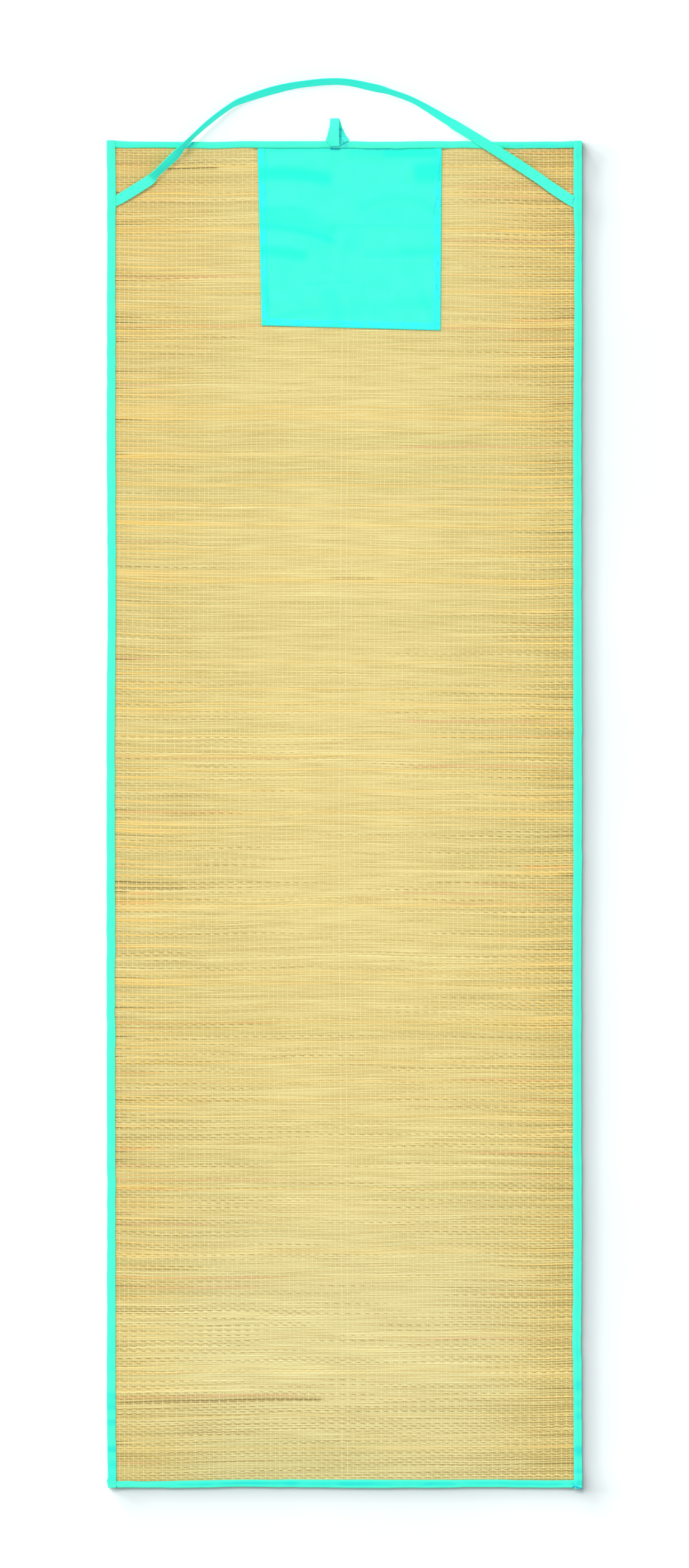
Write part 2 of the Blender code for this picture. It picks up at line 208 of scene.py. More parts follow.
# How boldly the weave shows, at places along the mat
BOLDNESS = (
    (-0.83, 1.60),
    (-0.76, 1.50),
    (-0.62, 1.40),
    (-0.50, 1.35),
    (-0.33, 1.15),
    (-0.15, 1.00),
    (0.10, 0.92),
    (0.25, 0.68),
    (0.60, 0.60),
    (0.78, 0.72),
    (0.84, 0.85),
)

# How far the rushes rise from straight lines, in millimetres, at these places across the mat. Each row is
# for one place along it
SWAY_ACROSS = (-0.284, -0.262, -0.225, -0.165, -0.097, 0.000, 0.095, 0.172, 0.249, 0.284)
SWAY = (
    (-0.817, (-3.4, -3.3, -2.7, -1.5, -0.2, 0.0, 0.3, 0.9, 1.9, 3.2)),
    (-0.740, (-3.5, -3.3, -2.5, -1.4, -0.1, 0.0, 0.2, 0.8, 1.6, 2.5)),
    (-0.694, (-1.6, -1.6, -1.2, -0.3, 0.3, 0.0, 0.7, 0.7, 0.2, 1.8)),
    (-0.571, (0.8, 0.4, 0.1, 0.2, 0.4, 0.0, 1.2, 1.4, 1.0, 2.3)),
    (-0.510, (1.4, 0.4, -0.2, -0.1, 0.3, 0.0, 1.0, 0.8, 0.2, 1.4)),
    (-0.387, (-0.2, -1.1, -1.3, -0.8, -0.2, 0.0, 0.3, -0.1, -1.3, -0.5)),
    (-0.263, (-0.9, -1.4, -1.5, -1.0, -0.2, 0.0, -0.4, -0.8, -2.2, -1.5)),
    (-0.140, (-0.4, -0.8, -0.9, -0.8, -0.2, 0.0, -1.0, -1.6, -2.2, -1.2)),
    (-0.079, (0.7, -0.4, -1.1, -0.8, -0.2, 0.0, -1.0, -1.7, -2.6, -1.7)),
    (0.044, (0.4, -0.5, -0.8, -0.6, -0.2, 0.0, -0.7, -1.6, -3.0, -2.7)),
    (0.167, (1.6, 0.5, 0.2, 0.1, 0.1, 0.0, -0.2, -0.8, -2.3, -1.9)),
    (0.290, (2.6, 1.1, -0.2, -0.3, 0.1, 0.0, -1.5, -2.2, -2.6, -1.4)),
    (0.352, (1.8, 0.5, -0.4, -0.6, -0.2, 0.0, -1.4, -2.2, -3.2, -2.2)),
    (0.475, (0.9, 0.0, -0.3, -0.2, 0.2, 0.0, -0.6, -0.8, -1.6, -0.6)),
    (0.598, (0.5, -0.1, -0.2, 0.0, 0.4, 0.0, 0.2, -0.9, -1.5, -0.6)),
    (0.737, (0.2, -0.5, -0.7, -0.5, 0.0, 0.0, 0.0, -0.6, -2.4, -2.2)),
)

# Steps between the sections of cloth
TAPE_STEP = 0.0042
STRAP_STEPS = 300
LOOP_STEPS = 90
PATCH_STEP = 0.0021

# The bindings. along: place on the edge from the mat's middle. out: how far the fold lies outside the
# nominal rectangle. width: how far the tape reaches inwards from its fold
Edge = namedtuple("Edge", "along out width")
HEAD_EDGE = (
    Edge(-0.290, -0.0001, 0.0090),
    Edge(-0.270, -0.0010, 0.0084),
    Edge(-0.245, -0.0012, 0.0080),
    Edge(-0.175, -0.0014, 0.0084),
    Edge(-0.120, -0.0006, 0.0086),
    Edge(0.000, -0.0006, 0.0088),
    Edge(0.045, -0.0014, 0.0088),
    Edge(0.120, -0.0006, 0.0090),
    Edge(0.225, -0.0014, 0.0086),
    Edge(0.272, -0.0011, 0.0084),
    Edge(0.290, -0.0003, 0.0090),
)
FOOT_EDGE = (
    Edge(-0.290, -0.0002, 0.0084),
    Edge(-0.245, 0.0002, 0.0082),
    Edge(-0.200, 0.0005, 0.0094),
    Edge(-0.128, -0.0010, 0.0091),
    Edge(-0.050, -0.0004, 0.0102),
    Edge(0.026, 0.0004, 0.0108),
    Edge(0.103, 0.0003, 0.0102),
    Edge(0.180, -0.0005, 0.0096),
    Edge(0.257, 0.0003, 0.0097),
    Edge(0.290, -0.0002, 0.0098),
)
LEFT_EDGE = (
    Edge(-0.851, 0.0006, 0.0124),
    Edge(-0.8425, 0.0005, 0.0123),
    Edge(-0.8395, -0.0008, 0.0110),
    Edge(-0.817, -0.0006, 0.0112),
    Edge(-0.740, 0.0003, 0.0112),
    Edge(-0.510, -0.0001, 0.0106),
    Edge(-0.202, 0.0005, 0.0108),
    Edge(0.106, 0.0005, 0.0106),
    Edge(0.260, -0.0007, 0.0104),
    Edge(0.490, 0.0004, 0.0110),
    Edge(0.720, -0.0001, 0.0106),
    Edge(0.790, -0.0001, 0.0112),
    Edge(0.851, 0.0004, 0.0108),
)
RIGHT_EDGE = (
    Edge(-0.851, 0.0006, 0.0108),
    Edge(-0.740, -0.0002, 0.0106),
    Edge(-0.664, -0.0007, 0.0112),
    Edge(-0.510, 0.0000, 0.0110),
    Edge(-0.280, -0.0006, 0.0112),
    Edge(0.000, 0.0002, 0.0112),
    Edge(0.413, -0.0004, 0.0108),
    Edge(0.721, 0.0002, 0.0096),
    Edge(0.790, 0.0004, 0.0112),
    Edge(0.851, 0.0002, 0.0104),
)

# The patch's soft creases, as its solid has them, and then the fine ones that only the cloth shows. Each is
# a low ridge from one place to another. bow: how far it is bowed. spread and fall: over what distance it
# fades away on its head side and on its foot side
Crease = namedtuple("Crease", "x0 y0 x1 y1 bow height spread fall")
CREASES = (
    Crease(-0.108, 0.818, -0.022, 0.819, 0.004, 0.0016, 0.016, 0.012),
    Crease(-0.104, 0.768, -0.020, 0.744, 0.012, 0.0017, 0.013, 0.016),
    Crease(-0.104, 0.718, -0.052, 0.712, 0.001, 0.0015, 0.012, 0.010),
    Crease(0.026, 0.769, 0.118, 0.764, 0.016, 0.0010, 0.012, 0.007),
    Crease(0.028, 0.745, 0.112, 0.745, 0.001, 0.0009, 0.012, 0.006),
    Crease(0.060, 0.719, 0.117, 0.722, 0.002, 0.0013, 0.014, 0.010),
    Crease(0.082, 0.818, 0.116, 0.806, 0.004, 0.0018, 0.012, 0.016),
    Crease(-0.026, 0.722, -0.002, 0.723, 0.000, 0.0009, 0.008, 0.010),
    Crease(-0.052, 0.656, 0.018, 0.655, -0.002, 0.0008, 0.014, 0.010),
    Crease(-0.100, 0.652, -0.066, 0.640, 0.002, 0.0009, 0.010, 0.010),
    Crease(0.060, 0.656, 0.108, 0.648, 0.004, 0.0010, 0.014, 0.014),
)
FINE_CREASES = (
    Crease(0.028, 0.838, 0.112, 0.833, 0.001, 0.0004, 0.006, 0.004),
    Crease(-0.096, 0.694, -0.058, 0.690, 0.001, 0.0003, 0.006, 0.004),
    Crease(-0.040, 0.672, 0.012, 0.671, 0.001, 0.0002, 0.006, 0.003),
    Crease(0.112, 0.774, 0.120, 0.771, 0.000, 0.0003, 0.003, 0.002),
    Crease(0.111, 0.758, 0.120, 0.757, 0.000, 0.0003, 0.003, 0.002),
    Crease(0.112, 0.692, 0.119, 0.690, 0.000, 0.0003, 0.003, 0.002),
    Crease(0.111, 0.666, 0.119, 0.662, 0.000, 0.0003, 0.004, 0.002),
    Crease(-0.102, 0.684, -0.095, 0.680, 0.000, 0.0003, 0.003, 0.002),
    Crease(-0.101, 0.671, -0.095, 0.668, 0.000, 0.0003, 0.003, 0.002),
)
CREASE_END_FADE = 0.010

# Painted shade where the patch's cloth leans away from the light, so that its dye looks deeper: soft bands,
# written in the same way, with a depth of shade for a height
SHADES = (
    Crease(-0.108, 0.809, -0.023, 0.803, 0.003, 0.95, 0.0092, 0.0092),
    Crease(0.014, 0.837, 0.112, 0.837, 0.000, 0.45, 0.0062, 0.0069),
    Crease(0.057, 0.837, 0.112, 0.837, 0.000, 0.70, 0.0069, 0.0077),
    Crease(0.095, 0.811, 0.117, 0.813, 0.000, 1.00, 0.0131, 0.0146),
    Crease(-0.105, 0.839, -0.005, 0.840, 0.000, 0.35, 0.0023, 0.0031),
    Crease(-0.105, 0.752, -0.019, 0.732, 0.006, 0.50, 0.0138, 0.0146),
    Crease(-0.102, 0.765, -0.047, 0.763, 0.002, 0.30, 0.0038, 0.0054),
    Crease(-0.105, 0.741, -0.016, 0.723, 0.005, 0.40, 0.0054, 0.0031),
    Crease(0.027, 0.769, 0.116, 0.762, 0.015, 0.28, 0.0054, 0.0062),
    Crease(-0.012, 0.743, 0.116, 0.743, 0.000, 0.28, 0.0027, 0.0027),
    Crease(0.031, 0.754, 0.116, 0.753, 0.005, 0.16, 0.0115, 0.0108),
    Crease(-0.103, 0.712, -0.054, 0.706, 0.001, 0.75, 0.0085, 0.0085),
    Crease(0.005, 0.720, 0.008, 0.720, 0.000, 0.35, 0.0092, 0.0092),
    Crease(0.033, 0.707, 0.118, 0.710, 0.000, 0.22, 0.0062, 0.0062),
    Crease(0.076, 0.710, 0.118, 0.713, 0.000, 0.35, 0.0077, 0.0069),
    Crease(0.010, 0.700, 0.116, 0.700, 0.000, -0.20, 0.0012, 0.0012),
    Crease(-0.100, 0.623, -0.035, 0.637, 0.002, 0.28, 0.0031, 0.0046),
    Crease(-0.018, 0.657, -0.010, 0.620, 0.000, 0.32, 0.0100, 0.0100),
    Crease(-0.041, 0.671, 0.005, 0.672, 0.000, 0.35, 0.0012, 0.0015),
    Crease(-0.100, 0.666, -0.097, 0.642, 0.000, 0.45, 0.0046, 0.0046),
    Crease(-0.005, 0.637, 0.112, 0.647, 0.000, 0.22, 0.0092, 0.0092),
    Crease(0.097, 0.658, 0.115, 0.621, 0.000, 0.25, 0.0069, 0.0069),
)
SHADE_END_FADE = 0.014

# A kind of cloth. deep: its colour where the dye is deeper. crease: its painted shade on creases that lean
# away
# from the light. thread: from one thread to the next. twill: 0 for a plain weave, 1 for a twill. checks: how
# strongly the threads' hatching shows in that crease shade
Cloth = namedtuple("Cloth", "colour deep crease thread twill checks folds")

# Painted shade in folds and gaps and painted shadows of what lies close above, on the tapes and on the
# patch, and darker marks on the patch's hems. Each is a line from one place to another. wide: how far it
# reaches on
# either side. deep: how dark it is
FoldLine = namedtuple("FoldLine", "x0 y0 x1 y1 wide deep")
TAPE_FOLDS = (
    FoldLine(0.2905, -0.8496, 0.2925, -0.8501, 0.0026, 1.30),
    FoldLine(0.2909, -0.8498, 0.3004, -0.8520, 0.0017, 1.30),
    FoldLine(-0.2998, 0.8504, -0.2988, 0.8458, 0.0006, 0.35),
    FoldLine(-0.2988, 0.8458, -0.2957, 0.8435, 0.0006, 0.35),
    FoldLine(-0.2957, 0.8435, -0.2904, 0.8425, 0.0006, 0.35),
    FoldLine(0.2932, 0.8512, 0.2932, 0.8273, 0.0006, 0.25),
    FoldLine(0.1954, 0.8439, 0.2908, 0.8439, 0.0009, 0.38),
    FoldLine(-0.0030, 0.8700, 0.0005, 0.8455, 0.0085, 0.42),
    FoldLine(-0.0059, 0.8758, -0.0053, 0.8640, 0.0012, 0.60),
    FoldLine(-0.0049, 0.8655, -0.0046, 0.8462, 0.0028, 0.95),
    FoldLine(-0.0172, 0.8434, -0.0065, 0.8444, 0.0008, 0.95),
    FoldLine(0.2905, 0.7801, 0.2882, 0.7713, 0.0012, 0.75),
    FoldLine(-0.1912, 0.8489, -0.1978, 0.8425, 0.0030, 0.70),
)
PATCH_FOLDS = (
    FoldLine(-0.0165, 0.8410, -0.0073, 0.8411, 0.0034, 0.95),
    FoldLine(0.1200, 0.8212, 0.1192, 0.7996, 0.0024, 0.35),
    FoldLine(0.1165, 0.7788, 0.1127, 0.7581, 0.0018, 0.40),
    FoldLine(0.1177, 0.6973, 0.1177, 0.6927, 0.0011, 0.50),
    FoldLine(0.1146, 0.6858, 0.1177, 0.6735, 0.0014, 0.35),
    FoldLine(0.1162, 0.6704, 0.1169, 0.6619, 0.0014, 0.40),
    FoldLine(0.1188, 0.6550, 0.1192, 0.6519, 0.0009, 0.45),
    FoldLine(-0.1015, 0.6789, -0.0969, 0.6443, 0.0017, 0.18),
)

# The strap. x and y: the middle of the tape as seen from above. low: the height of its lowest edge.
# roll: how far, in degrees, the tape is turned up on its inner edge
Turn = namedtuple("Turn", "x y low roll")
STRAP = (
    Turn(-0.2962, 0.7710, 0.0036, 0),
    Turn(-0.2815, 0.7788, 0.0037, 0),
    Turn(-0.2531, 0.7964, 0.0040, 2),
    Turn(-0.2450, 0.8019, 0.0042, 4),
    Turn(-0.2402, 0.8068, 0.0043, 46),
    Turn(-0.2138, 0.8319, 0.0056, 42),
    Turn(-0.1992, 0.8481, 0.0068, 68),
    Turn(-0.1700, 0.8750, 0.0034, 65),
    Turn(-0.1431, 0.8950, 0.0006, 64),
    Turn(-0.1312, 0.9010, 0.0000, 57),
    Turn(-0.0931, 0.9137, 0.0000, 49),
    Turn(-0.0563, 0.9217, 0.0000, 54),
    Turn(-0.0046, 0.9254, 0.0000, 55),
    Turn(0.0415, 0.9169, 0.0000, 49),
    Turn(0.0569, 0.9127, 0.0000, 61),
    Turn(0.0877, 0.9012, 0.0000, 61),
    Turn(0.1308, 0.8758, 0.0014, 42),
    Turn(0.1385, 0.8709, 0.0034, 29),
    Turn(0.1570, 0.8596, 0.0052, 27),
    Turn(0.1981, 0.8342, 0.0052, 20),
    Turn(0.2422, 0.8054, 0.0044, 4),
    Turn(0.2623, 0.7912, 0.0040, 0),
    Turn(0.2885, 0.7742, 0.0037, 0),
    Turn(0.2962, 0.7720, 0.0036, 0),
)

# The hanging loop, from the seam on the head binding's front, out over the edge and along the floor, round
# its fold and back above itself to the seam. y and z: the middle of the tape's thickness. x: the middle of
# its width
Limb = namedtuple("Limb", "y z x width")
HANGING_LOOP = (
    Limb(0.8438, 0.0071, -0.0118, 0.0124),
    Limb(0.8475, 0.0072, -0.0110, 0.0200),
    Limb(0.8500, 0.0070, -0.0094, 0.0284),
    Limb(0.8518, 0.0059, -0.0088, 0.0300),
    Limb(0.8532, 0.0040, -0.0090, 0.0286),
    Limb(0.8552, 0.0020, -0.0094, 0.0262),
    Limb(0.8590, 0.0007, -0.0100, 0.0226),
    Limb(0.8680, 0.0005, -0.0110, 0.0164),
    Limb(0.8755, 0.0005, -0.0118, 0.0124),
    Limb(0.8783, 0.0010, -0.0120, 0.0118),
    Limb(0.8787, 0.0024, -0.0121, 0.0118),
    Limb(0.8766, 0.0050, -0.0122, 0.0118),
    Limb(0.8700, 0.0086, -0.0126, 0.0120),
    Limb(0.8620, 0.0103, -0.0132, 0.0122),
    Limb(0.8530, 0.0102, -0.0126, 0.0118),
    Limb(0.8470, 0.0090, -0.0120, 0.0112),
    Limb(0.8432, 0.0085, -0.0118, 0.0108),
)

# Single rushes that stand out. y: place along the mat. x0 and x1: from where to where. stain: how brown it
# is. rust: how red it is. slit: how much wider the gap on its head side is
Streak = namedtuple("Streak", "y x0 x1 stain rust slit")
STREAKS = (
    Streak(-0.7404, -0.2823, -0.0392, 1.00, 0.0, 0.0004),
    Streak(-0.7373, -0.2823, -0.0392, 0.55, 0.0, 0.0001),
    Streak(0.4304, -0.1385, 0.0108, 0.35, 0.6, 0.0001),
    Streak(0.6288, 0.2740, 0.2900, 0.95, 0.4, 0.0002),
    Streak(0.6250, 0.2138, 0.2900, 0.10, 0.9, 0.0000),
    Streak(0.6020, 0.2050, 0.2900, 0.10, 0.8, 0.0001),
    Streak(-0.0735, 0.2800, 0.2900, 0.95, 0.5, 0.0002),
    Streak(-0.0655, 0.2308, 0.2900, 0.10, 0.9, 0.0000),
    Streak(-0.0788, 0.2769, 0.2900, 0.60, 0.0, 0.0004),
    Streak(-0.0881, -0.2900, -0.2120, 0.55, 0.2, 0.0002),
    Streak(-0.0942, -0.2900, -0.2050, 0.65, 0.0, 0.0003),
    Streak(-0.1004, -0.2900, -0.2777, 0.80, 0.0, 0.0004),
    Streak(-0.0999, -0.2900, -0.2450, 0.05, 0.8, 0.0000),
    Streak(-0.1104, -0.2900, -0.2430, 0.15, 0.9, 0.0001),
    Streak(-0.4219, -0.2900, -0.2469, 0.10, 0.9, 0.0001),
    Streak(0.2989, -0.0150, 0.0300, 0.60, 0.3, 0.0002),
    Streak(0.8157, -0.2354, -0.1700, 0.60, 0.2, 0.0004),
)
STREAK_END_FADE = 0.012

# The floor lies just clear of the mat's underside
FLOOR_GAP = 0.0001

# The suns that only the floor gets. angle: degrees from the left towards the head. height: for each metre of
# its distance. spread: how soft it is, in degrees. share: of the floor light's strength
FloorSun = namedtuple("FloorSun", "name angle height spread share")
FLOOR_SUNS = (
    FloorSun("floor_light", 33, 0.46, 50, 0.9),
    FloorSun("floor_light_across", 11, 0.10, 14, 1.4),
    FloorSun("floor_light_slanting", 33, 0.10, 14, 1.4),
    FloorSun("floor_light_along", 55, 0.10, 14, 1.4),
)


def ease(share):
    """Goes from 0 to 1 with a level start and end."""
    share = np.clip(share, 0.0, 1.0)
    return share * share * (3 - 2 * share)


def from_to(at, start, stop):
    """Goes from 0 at one place to 1 at another."""
    return ease((at - start) / (stop - start))


def plateau(at, start, stop, slope):
    """1 between start and stop, easing to 0 over slope on either side."""
    return ease((at - start) / slope + 1) * ease((stop - at) / slope + 1)


def level(rows, column, along):
    """Reads a column of an edge's table at any places, easing from row to row."""
    places = np.array([row.along for row in rows])
    values = np.array([getattr(row, column) for row in rows])
    i = np.clip(np.searchsorted(places, along) - 1, 0, len(rows) - 2)
    share = ease((along - places[i]) / (places[i + 1] - places[i]))
    return values[i] + (values[i + 1] - values[i]) * share


def flowing(rows, steps):
    """Reads a table's rows as a smooth curve through all of them, at even steps of its own length."""
    lengths = [0.0]
    for before, after in zip(rows, rows[1:]):
        lengths.append(lengths[-1] + math.dist(before[:2], after[:2]) + abs(before[2] - after[2]))
    found = []
    for step in range(steps + 1):
        at = lengths[-1] * step / steps
        i = max(k for k in range(len(rows) - 1) if lengths[k] <= at + 1e-9)
        share = (at - lengths[i]) / (lengths[i + 1] - lengths[i])
        found.append(type(rows[0])(*(blended(rows, lengths, i, share, c) for c in range(len(rows[0])))))
    return found


def blended(rows, lengths, i, share, column):
    """A cubic between rows i and i + 1 whose slopes follow the rows around them."""
    run = lengths[i + 1] - lengths[i]

    def slope(k):
        low, high = max(k - 1, 0), min(k + 1, len(rows) - 1)
        return (rows[high][column] - rows[low][column]) / (lengths[high] - lengths[low])

    first, last = rows[i][column], rows[i + 1][column]
    square, cube = share * share, share * share * share
    return (
        first * (2 * cube - 3 * square + 1)
        + slope(i) * run * (cube - 2 * square + share)
        + last * (3 * square - 2 * cube)
        + slope(i + 1) * run * (cube - square)
    )


def lift(depth):
    """How high a binding's lower wall carries what lies this far in from the edge."""
    return LIFT * from_to(depth, FLAT_FROM, LIFTED_TO)


def panel_under(x, y):
    """The height of the rush panel's underside."""
    return lift(HALF_WIDTH - np.abs(x)) + lift(HALF_LENGTH - np.abs(y))


def soft_noise(draw, rows, columns, bumps_down, bumps_across):
    """Smooth noise on a grid, with about so many bumps each way and a spread of about 1."""
    coarse = draw.normal(size=(bumps_down + 2, bumps_across + 2))
    down = np.linspace(0, bumps_down, rows)
    across = np.linspace(0, bumps_across, columns)
    i, j = down.astype(int), across.astype(int)
    s, t = ease(down - i)[:, None], ease(across - j)[None, :]
    near = coarse[i][:, j] * (1 - t) + coarse[i][:, j + 1] * t
    far = coarse[i + 1][:, j] * (1 - t) + coarse[i + 1][:, j + 1] * t
    return (near * (1 - s) + far * s) * 1.4


def wander(draw, count, bumps):
    """Smooth noise along one line."""
    return soft_noise(draw, 2, count, 1, bumps)[0]


def new_mesh(name, points, quads, quad_uvs, caps=()):
    """A smooth mesh from corners and four-sided faces, with the faces' places on the cloth's own map."""
    mesh = bpy.data.meshes.new(name)
    mesh.from_pydata(points.reshape(-1, 3).tolist(), [], [*quads.tolist(), *caps])
    run = np.zeros((len(mesh.loops), 2))
    run[: quads.size] = quad_uvs.reshape(-1, 2)
    mesh.uv_layers.new(name="run").data.foreach_set("uv", run.ravel())
    mesh.shade_smooth()
    return mesh


def set_values(mesh, name, values):
    """Gives each point of a mesh a number that its material reads."""
    data = mesh.attributes.new(name, "FLOAT", "POINT").data
    data.foreach_set("value", values.astype(np.float32).ravel())


def add_piece(mesh, material, slot, *nodes):
    """Places a finished mesh on the frame, in the place of its CAD nodes."""
    piece = bpy.data.objects.new(mesh.name, mesh)
    bpy.context.scene.collection.objects.link(piece)
    mesh.materials.append(material)
    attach(piece, "root")
    if nodes:
        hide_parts(*nodes)
    return piece


def tube_quads(sections, around):
    """The faces that join sections of so many corners each, one after another."""
    start = np.arange(sections - 1)[:, None] * around
    corner = np.arange(around)[None, :]
    beside = (corner + 1) % around
    return np.stack([start + corner, start + beside, start + around + beside, start + around + corner], 2)


def tube_caps(sections, around, start=0):
    """The faces that close both ends of a tube whose first corner has this number."""
    last = start + (sections - 1) * around
    return [list(range(start, start + around))[::-1], list(range(last, last + around))]


def tube_uvs(along, across):
    """A tube's sides on the cloth's own map. Each row of across ends with its first corner again."""
    u = np.broadcast_to(along[:, None], across.shape)
    grid = np.stack([u, across], 2)
    return np.stack([grid[:-1, :-1], grid[:-1, 1:], grid[1:, 1:], grid[1:, :-1]], 2)


def distances(path):
    """How far along a path each of its points lies."""
    return np.concatenate([[0], np.cumsum(np.linalg.norm(np.diff(path, axis=0), axis=1))])


def path_lengths(sections):
    """How far round its section each corner lies, and the whole way round at the end."""
    closed = np.concatenate([sections, sections[:, :1]], 1)
    steps = np.linalg.norm(np.diff(closed, axis=1), axis=2)
    return np.concatenate([np.zeros((len(sections), 1)), np.cumsum(steps, 1)], 1)


def tube_mesh(name, sections):
    """Skins a row of closed sections, first to last, with flat ends."""
    size = sections.shape[:2]
    uvs = tube_uvs(distances(sections.mean(1)), path_lengths(sections))
    return new_mesh(name, sections, tube_quads(*size).reshape(-1, 4), uvs, tube_caps(*size))


def string_places(sizes, draw):
    """Where the strings cross the panel's width, from left to right."""
    margin = sizes.string_pitch / 2
    left = np.arange(FIRST_LEFT_STRING, PANEL_LOW.x + margin, -sizes.string_pitch)[::-1]
    right = np.arange(FIRST_RIGHT_STRING, PANEL_HIGH.x - margin, sizes.string_pitch)
    for places in (left, right):
        places += draw.normal(0, sizes.string_jitter, len(places)).clip(-FARTHEST_STRAY, FARTHEST_STRAY)
    return np.array([*left, *DOUBLED_STRINGS, *right])


def sway(x, y):
    """How far the rushes at places y along the mat lie above straight lines, at places x across it."""
    places = [row[0] for row in SWAY]
    across = np.array([np.interp(x, SWAY_ACROSS, values) for _, values in SWAY])
    along = np.array([np.interp(y, places, column) for column in across.T]).T
    for _ in range(3):
        along[:, 1:-1] = (along[:, :-2] + 2 * along[:, 1:-1] + along[:, 2:]) / 4
    return along / MILLIMETRES


# The panel's grid, with a row for a rush and a column for a string. x: where the strings cross. along: where
# the rushes lie. to_root: from -1 at a stem's tip to 1 at its root. outer: from 0 in the middle to 1 at the
# edges. foot_end and foot_corner: 1 at the mat's foot end and its corners. bold: how boldly the weave shows
Grid = namedtuple("Grid", "draw x along to_root outer foot_end foot_corner bold")

Weave = namedtuple(
    "Weave", "strings x y middle half_width half_height over tone root rust stain sheen head_gap foot_gap"
)


def grid_noise(grid, bumps_down, bumps_across, more=0):
    """Smooth noise on the grid, or on the lines between and beside its rushes, which are one more."""
    rushes, columns = grid.to_root.shape
    return soft_noise(grid.draw, rushes + more, columns, bumps_down or rushes - 1, bumps_across)


def by_rush(grid):
    """A random number from 0 to 1 for every rush."""
    return grid.draw.random((len(grid.along), 1))


def stem_girths(grid):
    """How thick each stem is at each string, as a share of an average one."""
    tapers = grid.draw.normal(TAPER, TAPER_SPREAD, (len(grid.along), 1)).clip(*TAPER_LIMITS)
    tapers = tapers * np.where(grid.x > 0, RIGHT_TAPER, 1.0)
    girth = 1 + tapers * np.sign(grid.to_root) * np.abs(grid.to_root) ** 1.4
    girth = girth + grid.draw.normal(0, GIRTH_SPREAD, (len(grid.along), 1)).clip(-MOST_GIRTH, MOST_GIRTH)
    return girth + 0.08 * grid_noise(grid, None, 9)


def string_pinches(grid, pitch, girth):
    """How far a string that lies over a rush draws its foot side up."""
    by_chance = (0.07 + 1.25 * by_rush(grid) ** 4) * grid.bold + 0.30 * grid.foot_corner
    uneven = 1 + 0.35 * grid_noise(grid, 180, 12)
    return pitch * by_chance * uneven * girth.clip(0.5, 1.3)


def lines_between(grid, sizes, pitch, girth, drawn):
    """Where the lines between the rushes run. They drift up and down across the mat."""
    rushes, columns = grid.to_root.shape
    at_edge = PANEL_LOW.y + np.arange(rushes + 1)[:, None] * pitch
    fade = ease((PANEL_HIGH.y - np.abs(at_edge)) / DRIFT_FADE)
    drift = sway(grid.x, at_edge[:, 0]) + sizes.drift * grid_noise(grid, 60, 9, 1)
    wavy = WAVE * (0.10 + 0.90 * from_to(at_edge, -0.55, -0.83)) * (0.55 + 0.45 * grid.outer**2)
    together = grid_noise(grid, 75, 4, 1).clip(-1.5, 1.5)
    between = at_edge + drift * fade + wavy * together * fade * (np.arange(columns) % 2 * 2.0 - 1)
    between[1:-1] += SHIFT_BY_GIRTH * pitch * (girth[:-1] - girth[1:])
    between[1:-1] += DRAWN_SHARE * drawn[1:] - FOLLOWING_SHARE * drawn[:-1]
    return np.maximum.accumulate(between, 0)


def open_slits(grid, drawn):
    """How wide the slits between the rushes are, and how far they gape. Most are near the edges."""
    outer = grid.outer
    loose = by_rush(grid) ** 2 * (0.10 + 0.50 * outer**2.5 + 1.2 * grid.foot_corner).clip(0, 1)
    open_at = (grid_noise(grid, None, 6) - 1.0).clip(0, 1.6)
    slit = EDGE_SLIT * (0.08 + 0.92 * outer**3) * open_at - OVERLAP
    slit[:-1] += loose[:-1] * drawn[1:] * 0.40
    return slit, open_at


def slips(grid):
    """How far to the right the strings have slipped at every rush."""
    slip = np.interp(grid.along[:, 0], *np.array(SLIP).T)[:, None] / MILLIMETRES
    slip = slip * (1 - (1 - SLIP_AT_EDGE) * grid.outer**3)
    slip[:, [0, -1]] = 0
    return slip


def stem_tones(grid, girth, right_edge):
    """How pale each stem is, or how dull below nought."""
    x, along = grid.x, grid.along
    tone = TONE_OF_STEM * grid.draw.normal(size=(len(along), 1))
    tone = tone + TONE_ALONG_STEM * grid_noise(grid, None, 3) - TONE_BY_GIRTH * (girth - 1)
    tone = tone * (CALM + (1 - CALM) * grid.outer**1.5) * grid.bold**0.5 * (1 + 0.8 * right_edge)
    tone = tone - grid.foot_end * np.interp(x, (-0.15, 0.05), (0.10, 0.50))

    # Pale rows near the foot at the left, and dull ones at the foot and towards the head
    pale = 2.30 * plateau(along, -0.70, -0.64, 0.03) + 0.60 * plateau(along, -0.78, -0.71, 0.02)
    tone = tone + pale * np.interp(x, (-0.20, -0.02), (1.0, 0.25))
    tone = tone - 1.90 * from_to(along, -0.775, -0.795) * from_to(x, 0.15, -0.15)
    tone = tone - 0.80 * plateau(along, 0.41, 0.47, 0.03)
    return tone + 0.14 * grid_noise(grid, 90, 3) + 0.10 * grid_noise(grid, 20, 2)


def stem_rust(grid, side):
    """How reddish gold each stem is. It is most so at its root."""
    rusty = by_rush(grid) ** np.where(side > 0, 0.45, 1.0)
    rust = rusty * (0.20 * ease(grid.to_root * 1.2) + 0.80 * ease(grid.to_root * 2.2 - 1.1))
    return rust * (1 - 0.45 * from_to(grid.along, -0.58, -0.70)) + 0.55 * by_rush(grid) ** 7


